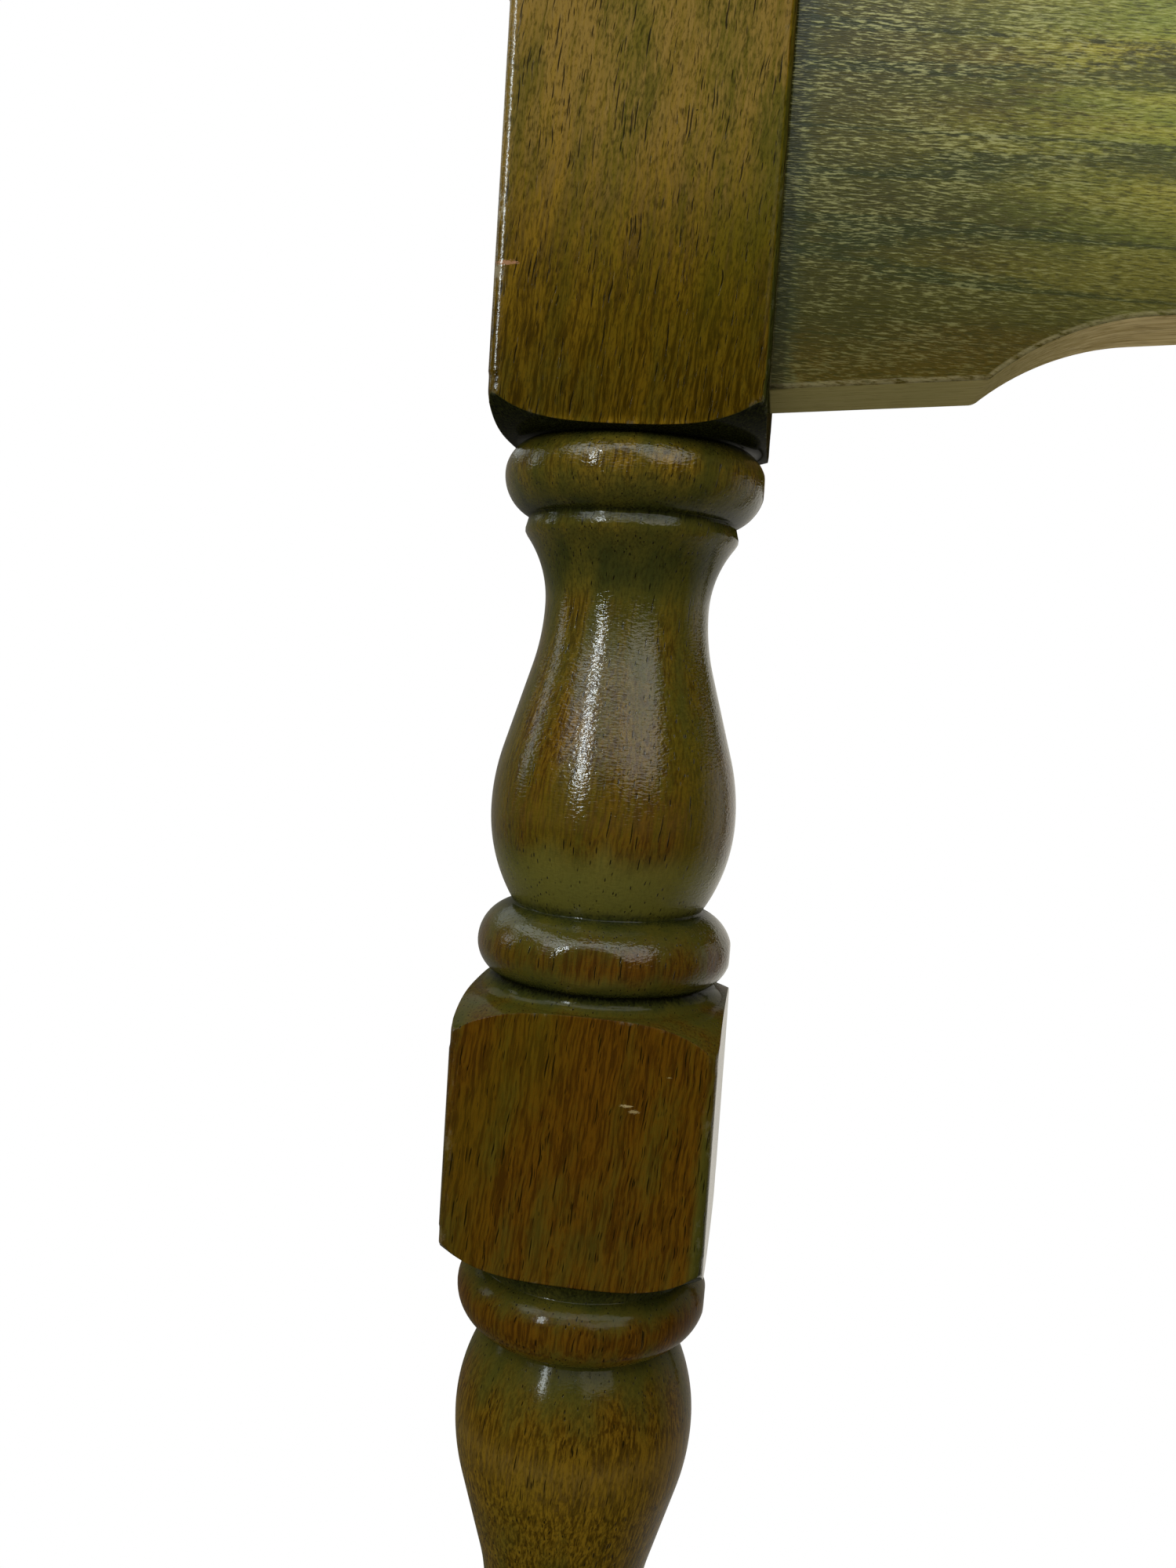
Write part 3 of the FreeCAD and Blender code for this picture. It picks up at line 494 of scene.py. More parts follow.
def stained_leg_beech(name, shift, marks=()):
    """Beech under brown and green stain and rippled lacquer, dark in the turnings, where the stain pools
    and painted shade deepens it, worn on the edges, with a painted highlight on the outer arrises high
    up. It is greener high up, redder on the middle block and browner low on the top block."""
    top_groove, mid_upper, mid_lower = (GRAIN_START + groove
                                        for groove in (TOP_GROOVE, MID_UPPER_GROOVE, MID_LOWER_GROOVE))
    vase_foot = mid_upper + BEAD_HEIGHT
    sharp = 2 * MM
    brown_reach = 50 * MM
    red_fade = 40 * MM
    low_fade = 10 * MM
    green_reach, green_fade, green_waver = 14 * MM, 7 * MM, 12 * MM
    material, tree, surface = new_material(name)
    grain = attribute(tree, "grain", "Vector")
    stain = attribute(tree, "stain", "Fac")
    wear = attribute(tree, "wear", "Fac")
    polish = attribute(tree, "polish", "Fac")
    height = add_node(tree, "SeparateXYZ", {"Vector": grain}).outputs["Z"]
    fibres = wavering(tree, grain, (300, 300, 150), 1.2 * MM)
    fibre = noise(tree, fibres, (2000, 2000, 130), 4.0, 0.65)
    speck = noise(tree, fibres, (2600, 2600, 700), 3.0, 0.65)
    blotch = noise(tree, grain, (190, 190, 40), 4.0, 0.55)
    cloud = noise(tree, grain, (55, 55, 14), 3.0)
    grainy = calc(tree, "ADD", calc(tree, "MULTIPLY_ADD", speck, 0.25, -0.125),
                  calc(tree, "MULTIPLY_ADD", fibre, 0.45, -0.225))
    uneven = calc(tree, "ADD", stain, grainy)
    streak = eased(tree, fibre, 0.38, 0.62)
    colour = mixed(tree, streak, tone(62, 44, 3), tone(122, 93, 19))
    colour = mixed(tree, eased(tree, uneven, 0.08, -0.32), colour, tone(123, 98, 44))
    lower = eased(tree, height, mid_lower, mid_lower - low_fade, 0.3)
    colour = mixed(tree, lower, colour, tone(44, 32, 3))
    redder = calc(tree, "MULTIPLY", eased(tree, height, top_groove, mid_upper),
                  eased(tree, height, mid_lower - red_fade, mid_lower, 0.9))
    colour = mixed(tree, redder, colour, mixed(tree, streak, tone(54, 31, 3), tone(76, 45, 4)))
    greener = calc(tree, "MULTIPLY_ADD", eased(tree, height, mid_lower, top_groove), 0.8, 0.2)
    clouded = eased(tree, calc(tree, "ADD", cloud, grainy), 0.42, 0.72, 0.75)
    colour = mixed(tree, calc(tree, "MULTIPLY", clouded, greener), colour, tone(68, 68, 10))
    blotched = eased(tree, calc(tree, "ADD", blotch, grainy), 0.44, 0.76, 0.7)
    colour = mixed(tree, calc(tree, "MULTIPLY", blotched, greener), colour, tone(58, 58, 10))
    browner = calc(tree, "MULTIPLY", eased(tree, height, top_groove + brown_reach, top_groove),
                   eased(tree, height, top_groove, top_groove + sharp, 0.85))
    colour = mixed(tree, browner, colour, mixed(tree, streak, tone(42, 30, 1), tone(70, 52, 5)))
    patchy = calc(tree, "ADD", uneven, calc(tree, "MULTIPLY_ADD", blotch, 0.9, -0.45))
    colour = mixed(tree, eased(tree, patchy, 0.1, 0.6, 0.8), colour, tone(64, 62, 19))
    colour = mixed(tree, eased(tree, patchy, 0.45, 0.9, 0.9), colour, tone(40, 43, 15))
    under_belly = calc(tree, "ADD", height,
                       calc(tree, "MULTIPLY_ADD", blotch, green_waver, -green_waver / 2))
    under_belly = calc(tree, "MULTIPLY", eased(tree, height, vase_foot, vase_foot + sharp),
                       eased(tree, under_belly, vase_foot + green_reach, vase_foot + green_fade, 0.75))
    colour = mixed(tree, under_belly, colour, tone(88, 83, 32))
    specked = calc(tree, "MULTIPLY", eased(tree, speck, 0.48, 0.66),
                   calc(tree, "MULTIPLY_ADD", redder, -0.4, 0.5))
    colour = mixed(tree, specked, colour, tone(40, 30, 4))
    fine_pores = calc(tree, "MULTIPLY", flecks(tree, fibres, (2200, 2200, 140), 0.2),
                      eased(tree, polish, 0.35, 0.15))
    pores = calc(tree, "MAXIMUM", flecks(tree, fibres, (1400, 1400, 60), 0.21), fine_pores)
    colour = mixed(tree, calc(tree, "MULTIPLY", pores, 0.9), colour, tone(18, 13, 1))
    # Near black where the stain runs deepest: stain pooled in the turnings, with painted shade in the
    # grooves and under the shoulders that face down.
    colour = mixed(tree, eased(tree, uneven, 0.72, 1.05, 0.97), colour, tone(5, 6, 3))
    # Pale rubbed wear on the arrises, with a painted highlight on the outer arrises high up.
    chafe = noise(tree, grain, (260, 260, 150), 5.0, 0.8)
    rubbed_and_glinting = calc(tree, "MULTIPLY", wear, eased(tree, chafe, 0.54, 0.65, 0.95))
    colour = mixed(tree, rubbed_and_glinting, colour, tone(206, 198, 172))
    for mark in marks:
        colour = marked(tree, grain, shift, mark, colour)
    ripple = noise(tree, grain, (1100, 1100, 2600), 2.0)
    relief = calc(tree, "SUBTRACT", calc(tree, "MULTIPLY", ripple, polish),
                  calc(tree, "MULTIPLY", pores, 0.3))
    normal = bumped(tree, relief, 1.0, 0.09 * MM)
    lay_finish(tree, surface, {"Base Color": colour, "Roughness": 0.5, "Specular IOR Level": 0.0,
                               "Normal": normal, "Coat Weight": polish, "Coat Roughness": 0.13,
                               "Coat Normal": normal})
    return material


def new_piece(name, bm, materials, slot, *nodes):
    """Make a shown piece of a mesh, in the place of the frame's nodes."""
    mesh = bpy.data.meshes.new(name)
    bm.to_mesh(mesh)
    bm.free()
    for material in materials:
        mesh.materials.append(material)
    mesh.shade_smooth()
    piece = bpy.data.objects.new(name, mesh)
    scene.collection.objects.link(piece)
    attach(piece, "root")
    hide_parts(*nodes)


def lay_grain(bm, shift):
    """Keep where each point lies in its timber, so that the grain follows the leg."""
    grain = bm.verts.layers.float_vector.new("grain")
    for vert in bm.verts:
        vert[grain] = Vector((vert.co.x - GRAIN_LEAN * vert.co.z, vert.co.y, vert.co.z)) + shift


def cut_level(bm, height, upward):
    """Saw off all that lies over or under a height, and close the cut."""
    cut = bmesh.ops.bisect_plane(bm, geom=bm.verts[:] + bm.edges[:] + bm.faces[:], dist=0.001 * MM,
                                 plane_co=(0, 0, height), plane_no=(0, 0, 1 if upward else -1),
                                 clear_outer=True)["geom_cut"]
    edges = [item for item in cut if isinstance(item, bmesh.types.BMEdge)]
    bmesh.ops.edgeloop_fill(bm, edges=edges)


TIMBER_START = Vector((0.2, 0.13, GRAIN_START))
TIMBER_APART = 0.35
leg_beech = stained_leg_beech("stained_leg_beech", Vector())
plain_leg = spin_leg()
for end, side, corner in CORNERS:
    leg = plain_leg.copy()
    leg.transform(Matrix.Diagonal((side, end, 1, 1)))
    bmesh.ops.recalc_face_normals(leg, faces=leg.faces)
    shift = TIMBER_START + TIMBER_APART * Vector((side, end, 0))
    lay_grain(leg, shift)
    leg.transform(Matrix.Translation((-side * LEG_AXIS, -end * LEG_AXIS, LEG_TOP))
                  @ Matrix.Rotation(side * LEG_LEAN, 4, "Y"))
    cut_level(leg, LEG_TOP, True)
    cut_level(leg, 0, False)
    finish = leg_beech
    if corner == "front_left":
        finish = stained_leg_beech("marked_leg_beech", shift, MARKS)
    new_piece(f"turned_leg_{corner}", leg, [finish], "stained_beech", f"leg_{corner}")
plain_leg.free()

# Aprons. Deep beech boards between the legs, set back from the legs' faces and dowelled to them.
# Each is cut up in a shallow curve along its lower edge. The side aprons lean with the legs.
APRON_HEIGHT = 80 * MM
APRON_THICKNESS = 19 * MM
APRON_SETBACK = 5 * MM
ARCH_SHOULDER = 34 * MM
ARCH_RUN = 24.7 * MM
ARCH_RISE = 8.5 * MM
APRON_ROUND = 0.7 * MM
GRAIN_SLOPE = math.radians(8)
APRON_MIDDLE = LEG_HALF - APRON_SETBACK - APRON_THICKNESS / 2
APRON_HALF = LEG_AXIS - LEG_HALF


def stained_apron_beech():
    """Beech under a green stain with brown patches, browner along the lower edge and darker towards the
    legs, with painted shade beside each leg and towards the lower edge, sloping darker grain lines, and
    fine dashes in the lacquer with painted glints on them, most near the top and towards the legs."""
    material, tree, surface = new_material("stained_apron_beech")
    timber = attribute(tree, "grain", "Vector")
    wear = attribute(tree, "wear", "Fac")
    place = add_node(tree, "SeparateXYZ", {"Vector": timber})
    height = place.outputs["Y"]
    from_middle = calc(tree, "ABSOLUTE", place.outputs["Z"])
    grain = add_node(tree, "Mapping", {"Vector": timber,
                                       "Rotation": (-GRAIN_SLOPE, 0, 0)}).outputs["Vector"]
    cloud = noise(tree, grain, (90, 110, 12), 4.0, 0.6)
    patch = noise(tree, grain, (60, 75, 22), 4.0, 0.6)
    line = noise(tree, grain, (50, 120, 4), 3.0, 0.4)
    speck = noise(tree, grain, (900, 1300, 420), 4.0, 0.7)
    dash = noise(tree, wavering(tree, grain, (200, 200, 90), 1 * MM), (2000, 3600, 480), 3.0, 0.65)
    cluster = noise(tree, grain, (130, 170, 70), 3.0, 0.6)
    grainy = calc(tree, "MULTIPLY_ADD", speck, 0.5, -0.25)
    colour = mixed(tree, eased(tree, cloud, 0.35, 0.65), tone(168, 157, 54), tone(138, 149, 52))
    colour = mixed(tree, eased(tree, calc(tree, "ADD", patch, grainy), 0.5, 0.66, 0.7), colour,
                   tone(116, 90, 26))
    near_leg = calc(tree, "ADD", from_middle, calc(tree, "MULTIPLY_ADD", cloud, 60 * MM, -30 * MM))
    colour = mixed(tree, eased(tree, near_leg, 35 * MM, 112 * MM, 0.94), colour, tone(57, 52, 12))
    # Painted shade: darker towards the lower edge.
    colour = mixed(tree, eased(tree, height, -30 * MM, -75 * MM, 0.85), colour, tone(48, 45, 8))
    near_line = calc(tree, "ADD", line, calc(tree, "MULTIPLY_ADD", speck, 0.1, -0.55))
    near_line = calc(tree, "ABSOLUTE", near_line)
    colour = mixed(tree, eased(tree, near_line, 0.035, 0.0, 0.8), colour, tone(34, 42, 12))
    above_edge = calc(tree, "ADD", height, calc(tree, "MULTIPLY_ADD", patch, -30 * MM, 15 * MM))
    colour = mixed(tree, eased(tree, above_edge, -66 * MM, -APRON_HEIGHT, 0.5), colour, tone(78, 58, 8))
    colour = mixed(tree, eased(tree, speck, 0.46, 0.74, 0.6), colour, tone(48, 46, 10))
    colour = mixed(tree, eased(tree, dash, 0.5, 0.36, 0.7), colour, tone(46, 45, 10))
    # Painted shade: a dark strip in the corner beside each leg.
    shade_beside_leg = calc(tree, "ADD", from_middle, calc(tree, "MULTIPLY", height, math.tan(LEG_LEAN)))
    shade_beside_leg = calc(tree, "ADD", shade_beside_leg, calc(tree, "MULTIPLY", grainy, 10 * MM))
    colour = mixed(tree, eased(tree, shade_beside_leg, APRON_HALF - 5 * MM, APRON_HALF - 2 * MM, 0.5), colour,
                   tone(44, 50, 30))
    coat = add_node(tree, "MapRange", {"Value": height, "From Min": -APRON_HEIGHT, "From Max": 0,
                                       "To Min": 0.12, "To Max": 1}).outputs["Result"]
    # Painted glints: light dashes that stand in for the lacquer catching light, stronger where the coat is
    # thicker towards the top, and towards the legs.
    painted_glint = calc(tree, "ADD", dash, calc(tree, "MULTIPLY_ADD", cluster, 0.25, -0.125))
    painted_glint = calc(tree, "MULTIPLY", eased(tree, painted_glint, 0.5, 0.66, 0.8), coat)
    towards_leg = calc(tree, "ADD", eased(tree, from_middle, 40 * MM, 100 * MM, 0.65), 0.35)
    colour = mixed(tree, calc(tree, "MULTIPLY", painted_glint, towards_leg), colour, tone(184, 180, 118))
    colour = mixed(tree, calc(tree, "MULTIPLY", wear, eased(tree, speck, 0.3, 0.6, 0.4)), colour,
                   tone(160, 148, 110))
    normal = bumped(tree, dash, 0.8, 0.1 * MM)
    lay_finish(tree, surface, {"Base Color": colour, "Roughness": 0.5, "Specular IOR Level": 0.03,
                               "Normal": normal, "Coat Weight": coat, "Coat Roughness": 0.14,
                               "Coat Normal": normal})
    return material


def thin_stained_edge():
    """The lower edge of an apron, where the stain lies thin on sawn wood, and darker by the legs."""
    material, tree, surface = new_material("thin_stained_edge")
    grain = attribute(tree, "grain", "Vector")
    place = add_node(tree, "SeparateXYZ", {"Vector": grain})
    from_middle = calc(tree, "ABSOLUTE", place.outputs["Z"])
    fibre = noise(tree, grain, (900, 900, 40), 4.0, 0.65)
    speck = noise(tree, grain, (1600, 1600, 240), 3.0, 0.6)
    colour = mixed(tree, eased(tree, fibre, 0.32, 0.68), tone(158, 136, 86), tone(200, 178, 130))
    colour = mixed(tree, eased(tree, from_middle, 60 * MM, 100 * MM, 0.85), colour, tone(126, 118, 70))
    colour = mixed(tree, eased(tree, speck, 0.52, 0.7, 0.5), colour, tone(96, 80, 44))
    lay_finish(tree, surface, {"Base Color": colour, "Roughness": 0.8, "Specular IOR Level": 0.02})
    return material


def apron_outline(top_half, low_half):
    """Corners of an apron's face, from its upper right to its upper left, under its top edge."""
    steps = 16
    bend = (ARCH_RUN ** 2 + ARCH_RISE ** 2) / (2 * ARCH_RISE)
    sweep = math.asin(ARCH_RUN / bend)
    crown = low_half - ARCH_SHOULDER - ARCH_RUN
    right = [(top_half, 0), (low_half, -APRON_HEIGHT)]
    for step in range(steps + 1):
        angle = sweep * (1 - step / steps)
        right.append((crown + bend * math.sin(angle),
                      ARCH_RISE - APRON_HEIGHT - bend * (1 - math.cos(angle))))
    return right + [(-x, z) for x, z in reversed(right)]


def round_edges(bm, edges, radius, segments):
    """Round edges of a piece over."""
    bmesh.ops.bevel(bm, geom=edges, offset=radius, segments=segments, profile=0.5, affect="EDGES",
                    material=-1)


def cut_apron(top_half, low_half):
    """An apron across the front, upright, with its top edge at z = 0 and its middle at y = 0."""
    rim_angle = math.radians(20)
    margin = 0.3 * MM
    worn_height = ARCH_RISE + 1 * MM - APRON_HEIGHT
    facing, sideways, downward = 0.99, 0.9, 0.6
    straight, leaning = 0.01, 0.3
    bm = bmesh.new()
    wear = bm.verts.layers.float.new("wear")
    front = bm.faces.new([bm.verts.new((x, -APRON_THICKNESS / 2, z))
                          for x, z in apron_outline(top_half, low_half)])
    grown = bmesh.ops.extrude_face_region(bm, geom=[front], use_keep_orig=True)["geom"]
    bmesh.ops.translate(bm, verts=[item for item in grown if isinstance(item, bmesh.types.BMVert)],
                        vec=(0, APRON_THICKNESS, 0))
    bmesh.ops.recalc_face_normals(bm, faces=bm.faces)
    rims = [edge for edge in bm.edges if edge.calc_face_angle(0) > rim_angle
            and all(abs(face.normal.x) < sideways for face in edge.link_faces)]
    round_edges(bm, rims, APRON_ROUND, 3)
    for vert in bm.verts:
        vert[wear] = vert.co.z < worn_height
    shown = [
        [face for face in bm.faces if face.normal.y < -facing],
        [face for face in bm.faces if face.normal.y > facing],
        [face for face in bm.faces if face.normal.z < -downward and abs(face.normal.y) < straight],
    ]
    for region in shown:
        bmesh.ops.inset_region(bm, faces=region, thickness=margin, use_even_offset=True,
                               use_boundary=True)
        for face in region:
            for vert in face.verts:
                vert[wear] = 0
    for face in bm.faces:
        face.normal_update()
        if face.normal.z < -downward and abs(face.normal.y) < leaning:
            face.material_index = 1
    return bm


def lay_board(bm, shift):
    """Keep where each point lies in its board, whose grain runs along it."""
    timber = bm.verts.layers.float_vector.new("grain")
    for vert in bm.verts:
        vert[timber] = Vector((vert.co.y + shift, vert.co.z, vert.co.x))


LONG_BOARDS_APART = 0.7
SIDE_BOARDS_APART = 1.6
apron_materials = [stained_apron_beech(), thin_stained_edge()]
long_top_half = LEG_AXIS - LEG_HALF / math.cos(LEG_LEAN)
long_low_half = long_top_half + APRON_HEIGHT * math.tan(LEG_LEAN)
for end, end_name in ENDS.items():
    apron = cut_apron(long_top_half, long_low_half)
    lay_board(apron, LONG_BOARDS_APART * end)
    apron.transform(Matrix.Translation((0, -end * (LEG_AXIS + APRON_MIDDLE), LEG_TOP))
                    @ Matrix.Rotation(0 if end == 1 else math.pi, 4, "Z"))
    new_piece(f"arched_apron_{end_name}", apron, apron_materials, "stained_beech", f"apron_{end_name}")
for side, side_name in SIDES.items():
    apron = cut_apron(APRON_HALF, APRON_HALF)
    lay_board(apron, SIDE_BOARDS_APART * side)
    for vert in apron.verts:
        across = (vert.co.y - APRON_MIDDLE) / math.cos(LEG_LEAN)
        vert.co.y = across + vert.co.z * math.tan(LEG_LEAN)
    apron.transform(Matrix.Translation((-side * LEG_AXIS, 0, LEG_TOP))
                    @ Matrix.Rotation(-side * math.pi / 2, 4, "Z"))
    new_piece(f"arched_apron_{side_name}", apron, apron_materials, "stained_beech", f"apron_{side_name}")

# Corner blocks of the seat. Stained beech like the legs. Each is dowelled to the top of a leg,
# rounded at the seat's corner and along its outer top edges, and mortised for two rails.
BLOCK_ROUND = 12 * MM
BLOCK_EDGE = 5 * MM
BLOCK_ARRIS = 0.8 * MM
BLOCK_MARGIN = 0.6 * MM
BLOCK_POLISH = 0.6
BLOCKS_APART = 0.5
ARRIS_ANGLE = math.radians(40)
FLAT_AREA = 100 * MM ** 2
CLOSE = 0.1 * MM


def lies_along(edge, axis, place):
    """Whether an edge lies at a place on an axis."""
    return all(abs(vert.co[axis] - place) < CLOSE for vert in edge.verts)


for end, side, corner in CORNERS:
    low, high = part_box(f"seat_corner_block_{corner}")
    block = bmesh.new()
    block.verts.layers.float.new("wear")
    block.verts.layers.float.new("stain")
    polish = block.verts.layers.float.new("polish")
    bmesh.ops.create_cube(block, size=1, matrix=Matrix.Translation((low + high) / 2)
                          @ Matrix.Diagonal((*(high - low), 1)))
    outer = Vector((low.x if side == 1 else high.x, low.y if end == 1 else high.y))
    upright = [edge for edge in block.edges
               if lies_along(edge, 0, outer.x) and lies_along(edge, 1, outer.y)]
    round_edges(block, upright, BLOCK_ROUND, 10)
    inner = low.xy + high.xy - outer
    rim = [edge for edge in block.edges if lies_along(edge, 2, high.z)
           and not lies_along(edge, 0, inner.x) and not lies_along(edge, 1, inner.y)]
    round_edges(block, rim, BLOCK_EDGE, 6)
    arrises = [edge for edge in block.edges if edge.calc_face_angle(0) > ARRIS_ANGLE]
    round_edges(block, arrises, BLOCK_ARRIS, 2)
    flats = [face for face in block.faces if face.calc_area() > FLAT_AREA]
    bmesh.ops.inset_individual(block, faces=flats, thickness=BLOCK_MARGIN, use_even_offset=True)
    timber = block.verts.layers.float_vector.new("grain")
    for vert in block.verts:
        vert[timber] = Vector((vert.co.y - BLOCKS_APART * end, vert.co.z,
                               vert.co.x - BLOCKS_APART * side))
        vert[polish] = BLOCK_POLISH
    new_piece(f"rounded_corner_block_{corner}", block, [leg_beech], "stained_beech",
              f"seat_corner_block_{corner}")

# Frame inside the seat. Planed beech, left bare: rails tenoned into the corner blocks, braces
# screwed across the inside corners of the aprons, and dowels in the joints.
RUNS = {"front": 0, "back": 0, "left": math.pi / 2, "right": math.pi / 2}


def bare_beech(name, run):
    """Pale beech with fine brown flecks, whose grain runs level at an angle from the X axis."""
    material, tree, surface = new_material(name)
    place = add_node(tree, "TexCoord", {}).outputs["Object"]
    grain = add_node(tree, "Mapping", {"Vector": place, "Rotation": (0, 0, -run)}).outputs["Vector"]
    fibre = noise(tree, grain, (40, 900, 900), 4.0, 0.6)
    cloud = noise(tree, grain, (8, 60, 60), 3.0)
    turned = add_node(tree, "Mapping", {"Vector": grain, "Rotation": (0, math.pi / 2, 0)}).outputs["Vector"]
    pores = flecks(tree, turned, (900, 900, 90), 0.16)
    colour = mixed(tree, eased(tree, fibre, 0.3, 0.7), tone(186, 148, 108), tone(212, 178, 138))
    colour = mixed(tree, eased(tree, cloud, 0.45, 0.7, 0.5), colour, tone(196, 150, 112))
    colour = mixed(tree, calc(tree, "MULTIPLY", pores, 0.7), colour, tone(122, 80, 48))
    lay_finish(tree, surface, {"Base Color": colour, "Roughness": 0.62,
                               "Normal": bumped(tree, fibre, 0.6, 0.1 * MM)})
    return material


def finish_node(node, material):
    """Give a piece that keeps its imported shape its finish."""
    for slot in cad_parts[node].material_slots:
        slot.material = material


for side_name, run in RUNS.items():
    finish_node(f"seat_rail_{side_name}", bare_beech(f"bare_beech_rail_{side_name}", run))
dowel_beech = bare_beech("bare_beech_dowels", 0)
finish_node("seat_dowels", dowel_beech)
for end, side, corner in CORNERS:
    finish_node(f"apron_dowels_{corner}", dowel_beech)
    finish_node(f"corner_brace_{corner}", bare_beech(f"bare_beech_brace_{corner}",
                                                     -side * end * math.pi / 4))

# Brace screws. Two plain steel screws with pan heads in each brace, driven through it into the two
# aprons that it joins.


def screw_steel():
    """Plain steel, brighter and duller in small spots."""
    material, tree, surface = new_material("plain_screw_steel")
    place = add_node(tree, "TexCoord", {}).outputs["Object"]
    spots = noise(tree, place, (2500, 2500, 2500), 3.0)
    rough = add_node(tree, "MapRange", {"Value": spots, "To Min": 0.28, "To Max": 0.5})
    colour = mixed(tree, eased(tree, spots, 0.35, 0.7), tone(196, 194, 188), tone(160, 154, 142))
    lay_finish(tree, surface, {"Base Color": colour, "Metallic": 1.0,
                               "Roughness": rough.outputs["Result"]})
    return material


steel = screw_steel()
for _, _, corner in CORNERS:
    finish_node(f"brace_screws_{corner}", steel)

# Stuffing. Loose straw, packed by hand between the upper and the lower cords of each side while the
# seat is wound, so that the seat keeps its crown.


def loose_straw():
    """Short stalks of straw that lie both ways."""
    material, tree, surface = new_material("loose_packed_straw")
    place = add_node(tree, "TexCoord", {}).outputs["Object"]
    stalks = calc(tree, "MAXIMUM", noise(tree, place, (60, 700, 500), 3.0),
                  noise(tree, place, (700, 60, 500), 3.0))
    colour = mixed(tree, eased(tree, stalks, 0.45, 0.7), tone(120, 90, 46), tone(202, 170, 104))
    lay_finish(tree, surface, {"Base Color": colour, "Roughness": 0.7,
                               "Normal": bumped(tree, stalks, 0.8, 1 * MM)})
    return material


stuffing = loose_straw()
for side_name in RUNS:
    finish_node(f"stuffing_{side_name}", stuffing)

# Straw. Cords of dry straw, twisted as they are laid, go over each rail and back under it. The
# cords of two sides meet on a diagonal of the seat, where they dip into the seam.
CORD_RADIUS = 2.5 * MM
CORD_COUNT = 47
CORD_LAY = 22 * MM
CORD_STEP = 2.2 * MM
STRAW_ROUND = 9 * MM
STRAW_LOW = LEG_TOP + 1 * MM
STRAW_HIGH = LEG_TOP + 31 * MM
SEAT_CROWN = 7 * MM
RAIL_INSIDE = 31 * MM
SEAM_DIP = 3.5 * MM
SEAM_LENGTH = 7 * MM
SEAM_GAP = 0.5 * MM


def twisted_straw():
    """Dry straw in gold, buff and brown blades that run along the twist of each cord."""
    material, tree, surface = new_material("twisted_straw")
    grain = attribute(tree, "grain", "Vector")
    blade = noise(tree, grain, (900, 900, 26), 2.0)
    fibre = noise(tree, grain, (3200, 3200, 60), 3.0, 0.6)
    patch = noise(tree, grain, (9, 9, 14), 3.0)
    colour = mixed(tree, eased(tree, blade, 0.3, 0.7), tone(148, 108, 52), tone(206, 170, 100))
    colour = mixed(tree, eased(tree, fibre, 0.55, 0.8, 0.6), colour, tone(104, 72, 32))
    colour = mixed(tree, eased(tree, patch, 0.5, 0.75, 0.5), colour, tone(172, 146, 84))
    lay_finish(tree, surface, {"Base Color": colour, "Roughness": 0.5,
                               "Normal": bumped(tree, fibre, 0.7, 0.25 * MM)})
    return material


def cord_course(start, half_across):
    """Middle line of a cord, as distances from the seat's middle and heights, over and under a rail."""
    spacing = 1 * MM
    bend = STRAW_ROUND - CORD_RADIUS
    high = STRAW_HIGH - CORD_RADIUS
    low = STRAW_LOW + CORD_RADIUS
    turn = half_across - STRAW_ROUND
    rail_edge = half_across - RAIL_INSIDE
    count = max(round((turn - start) / spacing), 4)
    across = [start + (turn - start) * step / count for step in range(count + 1)]
    dips = [SEAM_DIP * max(0, 1 - (a - start) / SEAM_LENGTH) ** 2 for a in across]
    course = [Vector((a, high + SEAT_CROWN * max(0, 1 - (a / rail_edge) ** 2) - dip))
              for a, dip in zip(across, dips)]
    arc_steps = 8
    arc = [math.pi / 2 * step / arc_steps for step in range(1, arc_steps + 1)]
    course += [Vector((turn + bend * math.sin(angle), high - bend * (1 - math.cos(angle))))
               for angle in arc]
    course += [Vector((turn + bend * math.cos(angle), low + bend * (1 - math.sin(angle))))
               for angle in arc]
    course += [Vector((a, low + dip)) for a, dip in zip(reversed(across), reversed(dips))]
    return course


def wind_cord(course, shift, chance):
    """A two-ply cord along a middle line, in the plane of that line, with its straw's own direction."""
    sides = 8
    lobe = 0.13
    sway_depth = 0.25 * MM
    sway_rate = 95
    lengths = [0]
    for here, there in zip(course, course[1:]):
        lengths.append(lengths[-1] + (there - here).length)
    rows = round(lengths[-1] / CORD_STEP)
    cord = bmesh.new()
    grain = cord.verts.layers.float_vector.new("grain")
    bmesh.ops.create_cone(cord, cap_ends=True, segments=sides, radius1=1, radius2=1, depth=1)
    walls = [edge for edge in cord.edges if abs(edge.verts[0].co.z - edge.verts[1].co.z) > 0.5]
    bmesh.ops.subdivide_edges(cord, edges=walls, cuts=rows - 1, use_grid_fill=True)
    thickness = CORD_RADIUS * chance.uniform(0.97, 1.06)
    begin = chance.uniform(0, math.tau)
    sway = chance.uniform(0, math.tau)
    place = 0
    for vert in sorted(cord.verts, key=lambda vert: vert.co.z):
        length = (vert.co.z + 0.5) * lengths[-1]
        while place < len(course) - 2 and lengths[place + 1] < length:
            place += 1
        step = course[place + 1] - course[place]
        middle = course[place] + step * ((length - lengths[place]) / step.length)
        out = Vector((-step.y, step.x)).normalized()
        angle = math.atan2(vert.co.y, vert.co.x)
        twist = begin + math.tau * length / CORD_LAY
        radius = thickness * (1 + lobe * math.cos(2 * (angle - twist)))
        drift = sway_depth * math.sin(sway + length * sway_rate)
        middle += out * radius * math.sin(angle)
        vert[grain] = Vector((thickness * math.cos(angle - twist), thickness * math.sin(angle - twist),
                              length)) + shift
        vert.co = (radius * math.cos(angle) + drift, -middle.x, middle.y)
    bmesh.ops.recalc_face_normals(cord, faces=cord.faces)
    return cord


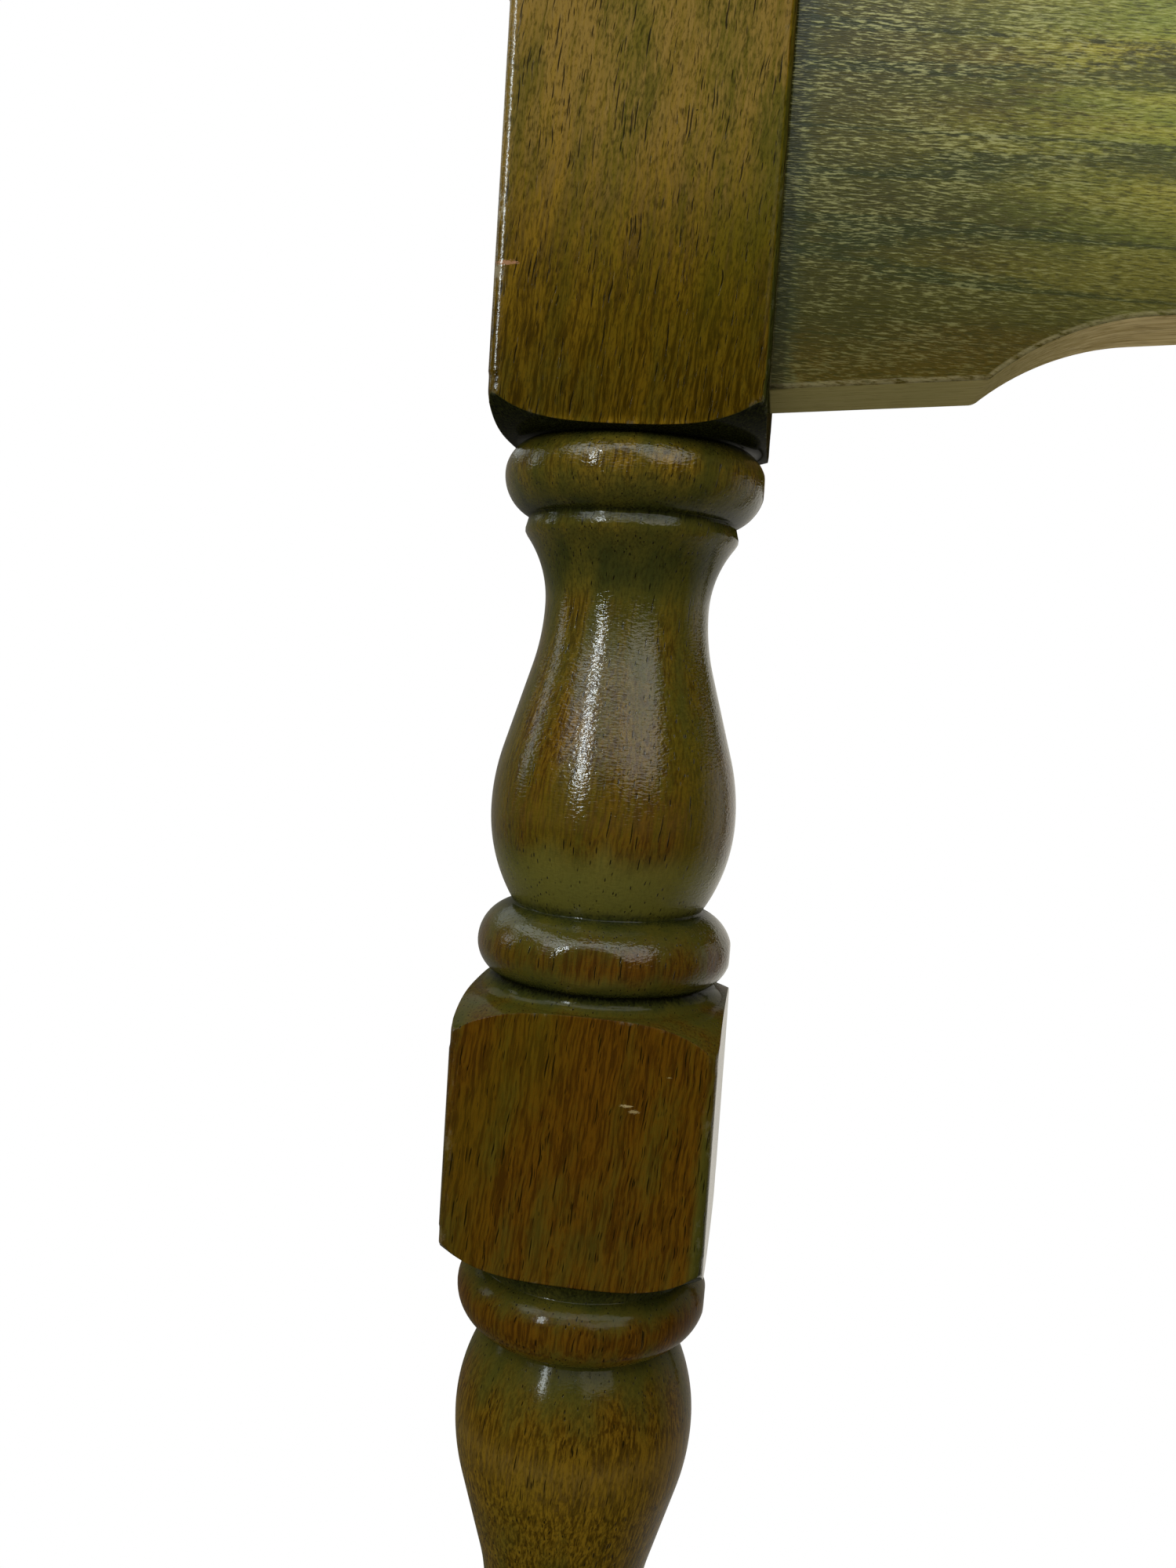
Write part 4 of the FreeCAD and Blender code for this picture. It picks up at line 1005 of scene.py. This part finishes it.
straw = twisted_straw()
strand = bpy.data.meshes.new("strand")
for turn, side_name in enumerate(("front", "right", "back", "left")):
    chance = random.Random(side_name)
    long_axis = turn % 2
    block_low, block_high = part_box("seat_corner_block_back_right")
    half_across = block_high[1 - long_axis]
    half_length = block_low[long_axis]
    half_mitre = block_low[1 - long_axis]
    weave = bmesh.new()
    pitch = 2 * half_length / CORD_COUNT
    for count in range(CORD_COUNT):
        along = -half_length + pitch * (count + 0.5)
        start = abs(along) * half_mitre / half_length + SEAM_GAP
        shift = Vector((chance.random(), chance.random(), chance.random()))
        cord = wind_cord(cord_course(start, half_across), shift, chance)
        cord.transform(Matrix.Translation((along, 0, 0)))
        cord.to_mesh(strand)
        cord.free()
        weave.from_mesh(strand)
    weave.transform(Matrix.Rotation(turn * math.pi / 2, 4, "Z"))
    new_piece(f"straw_cords_{side_name}", weave, [straw], "straw_cord", f"straw_{side_name}")
bpy.data.meshes.remove(strand)

# Floor. A plain pale floor that runs out of sight, for the stool to stand on. It isn't mirrored in
# the lacquer.
FLOOR_HALF = 3.0
floor_bm = bmesh.new()
bmesh.ops.create_grid(floor_bm, x_segments=1, y_segments=1, size=FLOOR_HALF)
floor_mesh = bpy.data.meshes.new("floor")
floor_bm.to_mesh(floor_mesh)
floor_bm.free()
floor_material, floor_tree, floor_surface = new_material("pale_floor")
lay_finish(floor_tree, floor_surface, {"Base Color": tone(202, 200, 196), "Roughness": 0.8})
floor_mesh.materials.append(floor_material)
floor = bpy.data.objects.new("floor", floor_mesh)
scene.collection.objects.link(floor)
floor.visible_glossy = False

# Light. A dim room with a white backdrop that the camera alone sees, soft panels like windows in
# front of the stool and on its left, two more behind it, and a ceiling that lights the wood without
# showing in its lacquer.
world = bpy.data.worlds.new("studio")
world.use_nodes = True
world_tree = world.node_tree
world_tree.nodes.clear()
path = add_node(world_tree, "LightPath", {})
direction = add_node(world_tree, "TexCoord", {})
split = add_node(world_tree, "SeparateXYZ", {"Vector": direction.outputs["Generated"]})
sky = add_node(world_tree, "MapRange", {"Value": split.outputs["Z"], "From Min": -0.2, "From Max": 0.5,
                                        "To Min": 0.1, "To Max": 0.42})
behind = calc(world_tree, "MULTIPLY", eased(world_tree, split.outputs["Y"], -0.2, 0.95, 0.75),
              calc(world_tree, "ADD", eased(world_tree, split.outputs["X"], -0.3, 0.05, 0.75), 0.25))
mirrored = calc(world_tree, "ADD", behind, 0.02)
glossy = path.outputs["Is Glossy Ray"]
strength = calc(world_tree, "ADD", calc(world_tree, "MULTIPLY", glossy, mirrored),
                calc(world_tree, "MULTIPLY", calc(world_tree, "SUBTRACT", 1.0, glossy), sky.outputs[0]))
room = add_node(world_tree, "Background", {"Color": (1, 0.96, 0.86, 1), "Strength": strength})
backdrop = add_node(world_tree, "Background", {"Color": (1, 1, 1, 1), "Strength": 1.0})
either = add_node(world_tree, "MixShader", {0: path.outputs["Is Camera Ray"], 1: room.outputs[0],
                                            2: backdrop.outputs[0]})
add_node(world_tree, "OutputWorld", {"Surface": either.outputs[0]})
scene.world = world
scene.view_settings.view_transform = "Standard"


def add_panel(name, azimuth, elevation, width, height, brightness, colour, distance=1.6, mirrored=True):
    """A soft panel that faces the front left leg, by its direction from there in degrees."""
    target = Vector((-150, -150, 220)) * MM
    turn = math.radians(azimuth)
    rise = math.radians(elevation)
    towards = Vector((math.sin(turn) * math.cos(rise), -math.cos(turn) * math.cos(rise), math.sin(rise)))
    light = bpy.data.lights.new(name, "AREA")
    light.shape = "RECTANGLE"
    light.size = 2 * distance * math.tan(math.radians(width / 2))
    light.size_y = 2 * distance * math.tan(math.radians(height / 2))
    light.energy = brightness * math.pi * light.size * light.size_y
    light.color = colour
    lamp = bpy.data.objects.new(name, light)
    lamp.location = target + towards * distance
    lamp.rotation_euler = towards.to_track_quat("Z", "Y").to_euler()
    lamp.visible_camera = False
    lamp.visible_glossy = mirrored
    scene.collection.objects.link(lamp)


COOL = (0.88, 0.97, 1)
WARM = (1, 0.97, 0.92)
add_panel("window_edge", -26.5, 24, 4, 19, 38, COOL)
add_panel("window_left", -31, 24, 42, 18, 0.2, COOL)
add_panel("window_middle", 4, 34, 28, 24, 1.1, COOL)
add_panel("window_right", 34, 24, 32, 18, 2.2, WARM)
add_panel("window_top", 5, 50, 90, 18, 2.3, COOL)
add_panel("window_top_left", -75, 50, 55, 18, 1.8, COOL)
add_panel("window_far_left", -93, 22, 9, 18, 2.0, COOL)
add_panel("ceiling", 5, 62, 50, 35, 0.5, WARM, distance=0.8, mirrored=False)
add_panel("fill_back_left", -140, 35, 40, 25, 0.6, COOL)
add_panel("fill_back_right", 150, 35, 40, 25, 0.6, COOL)
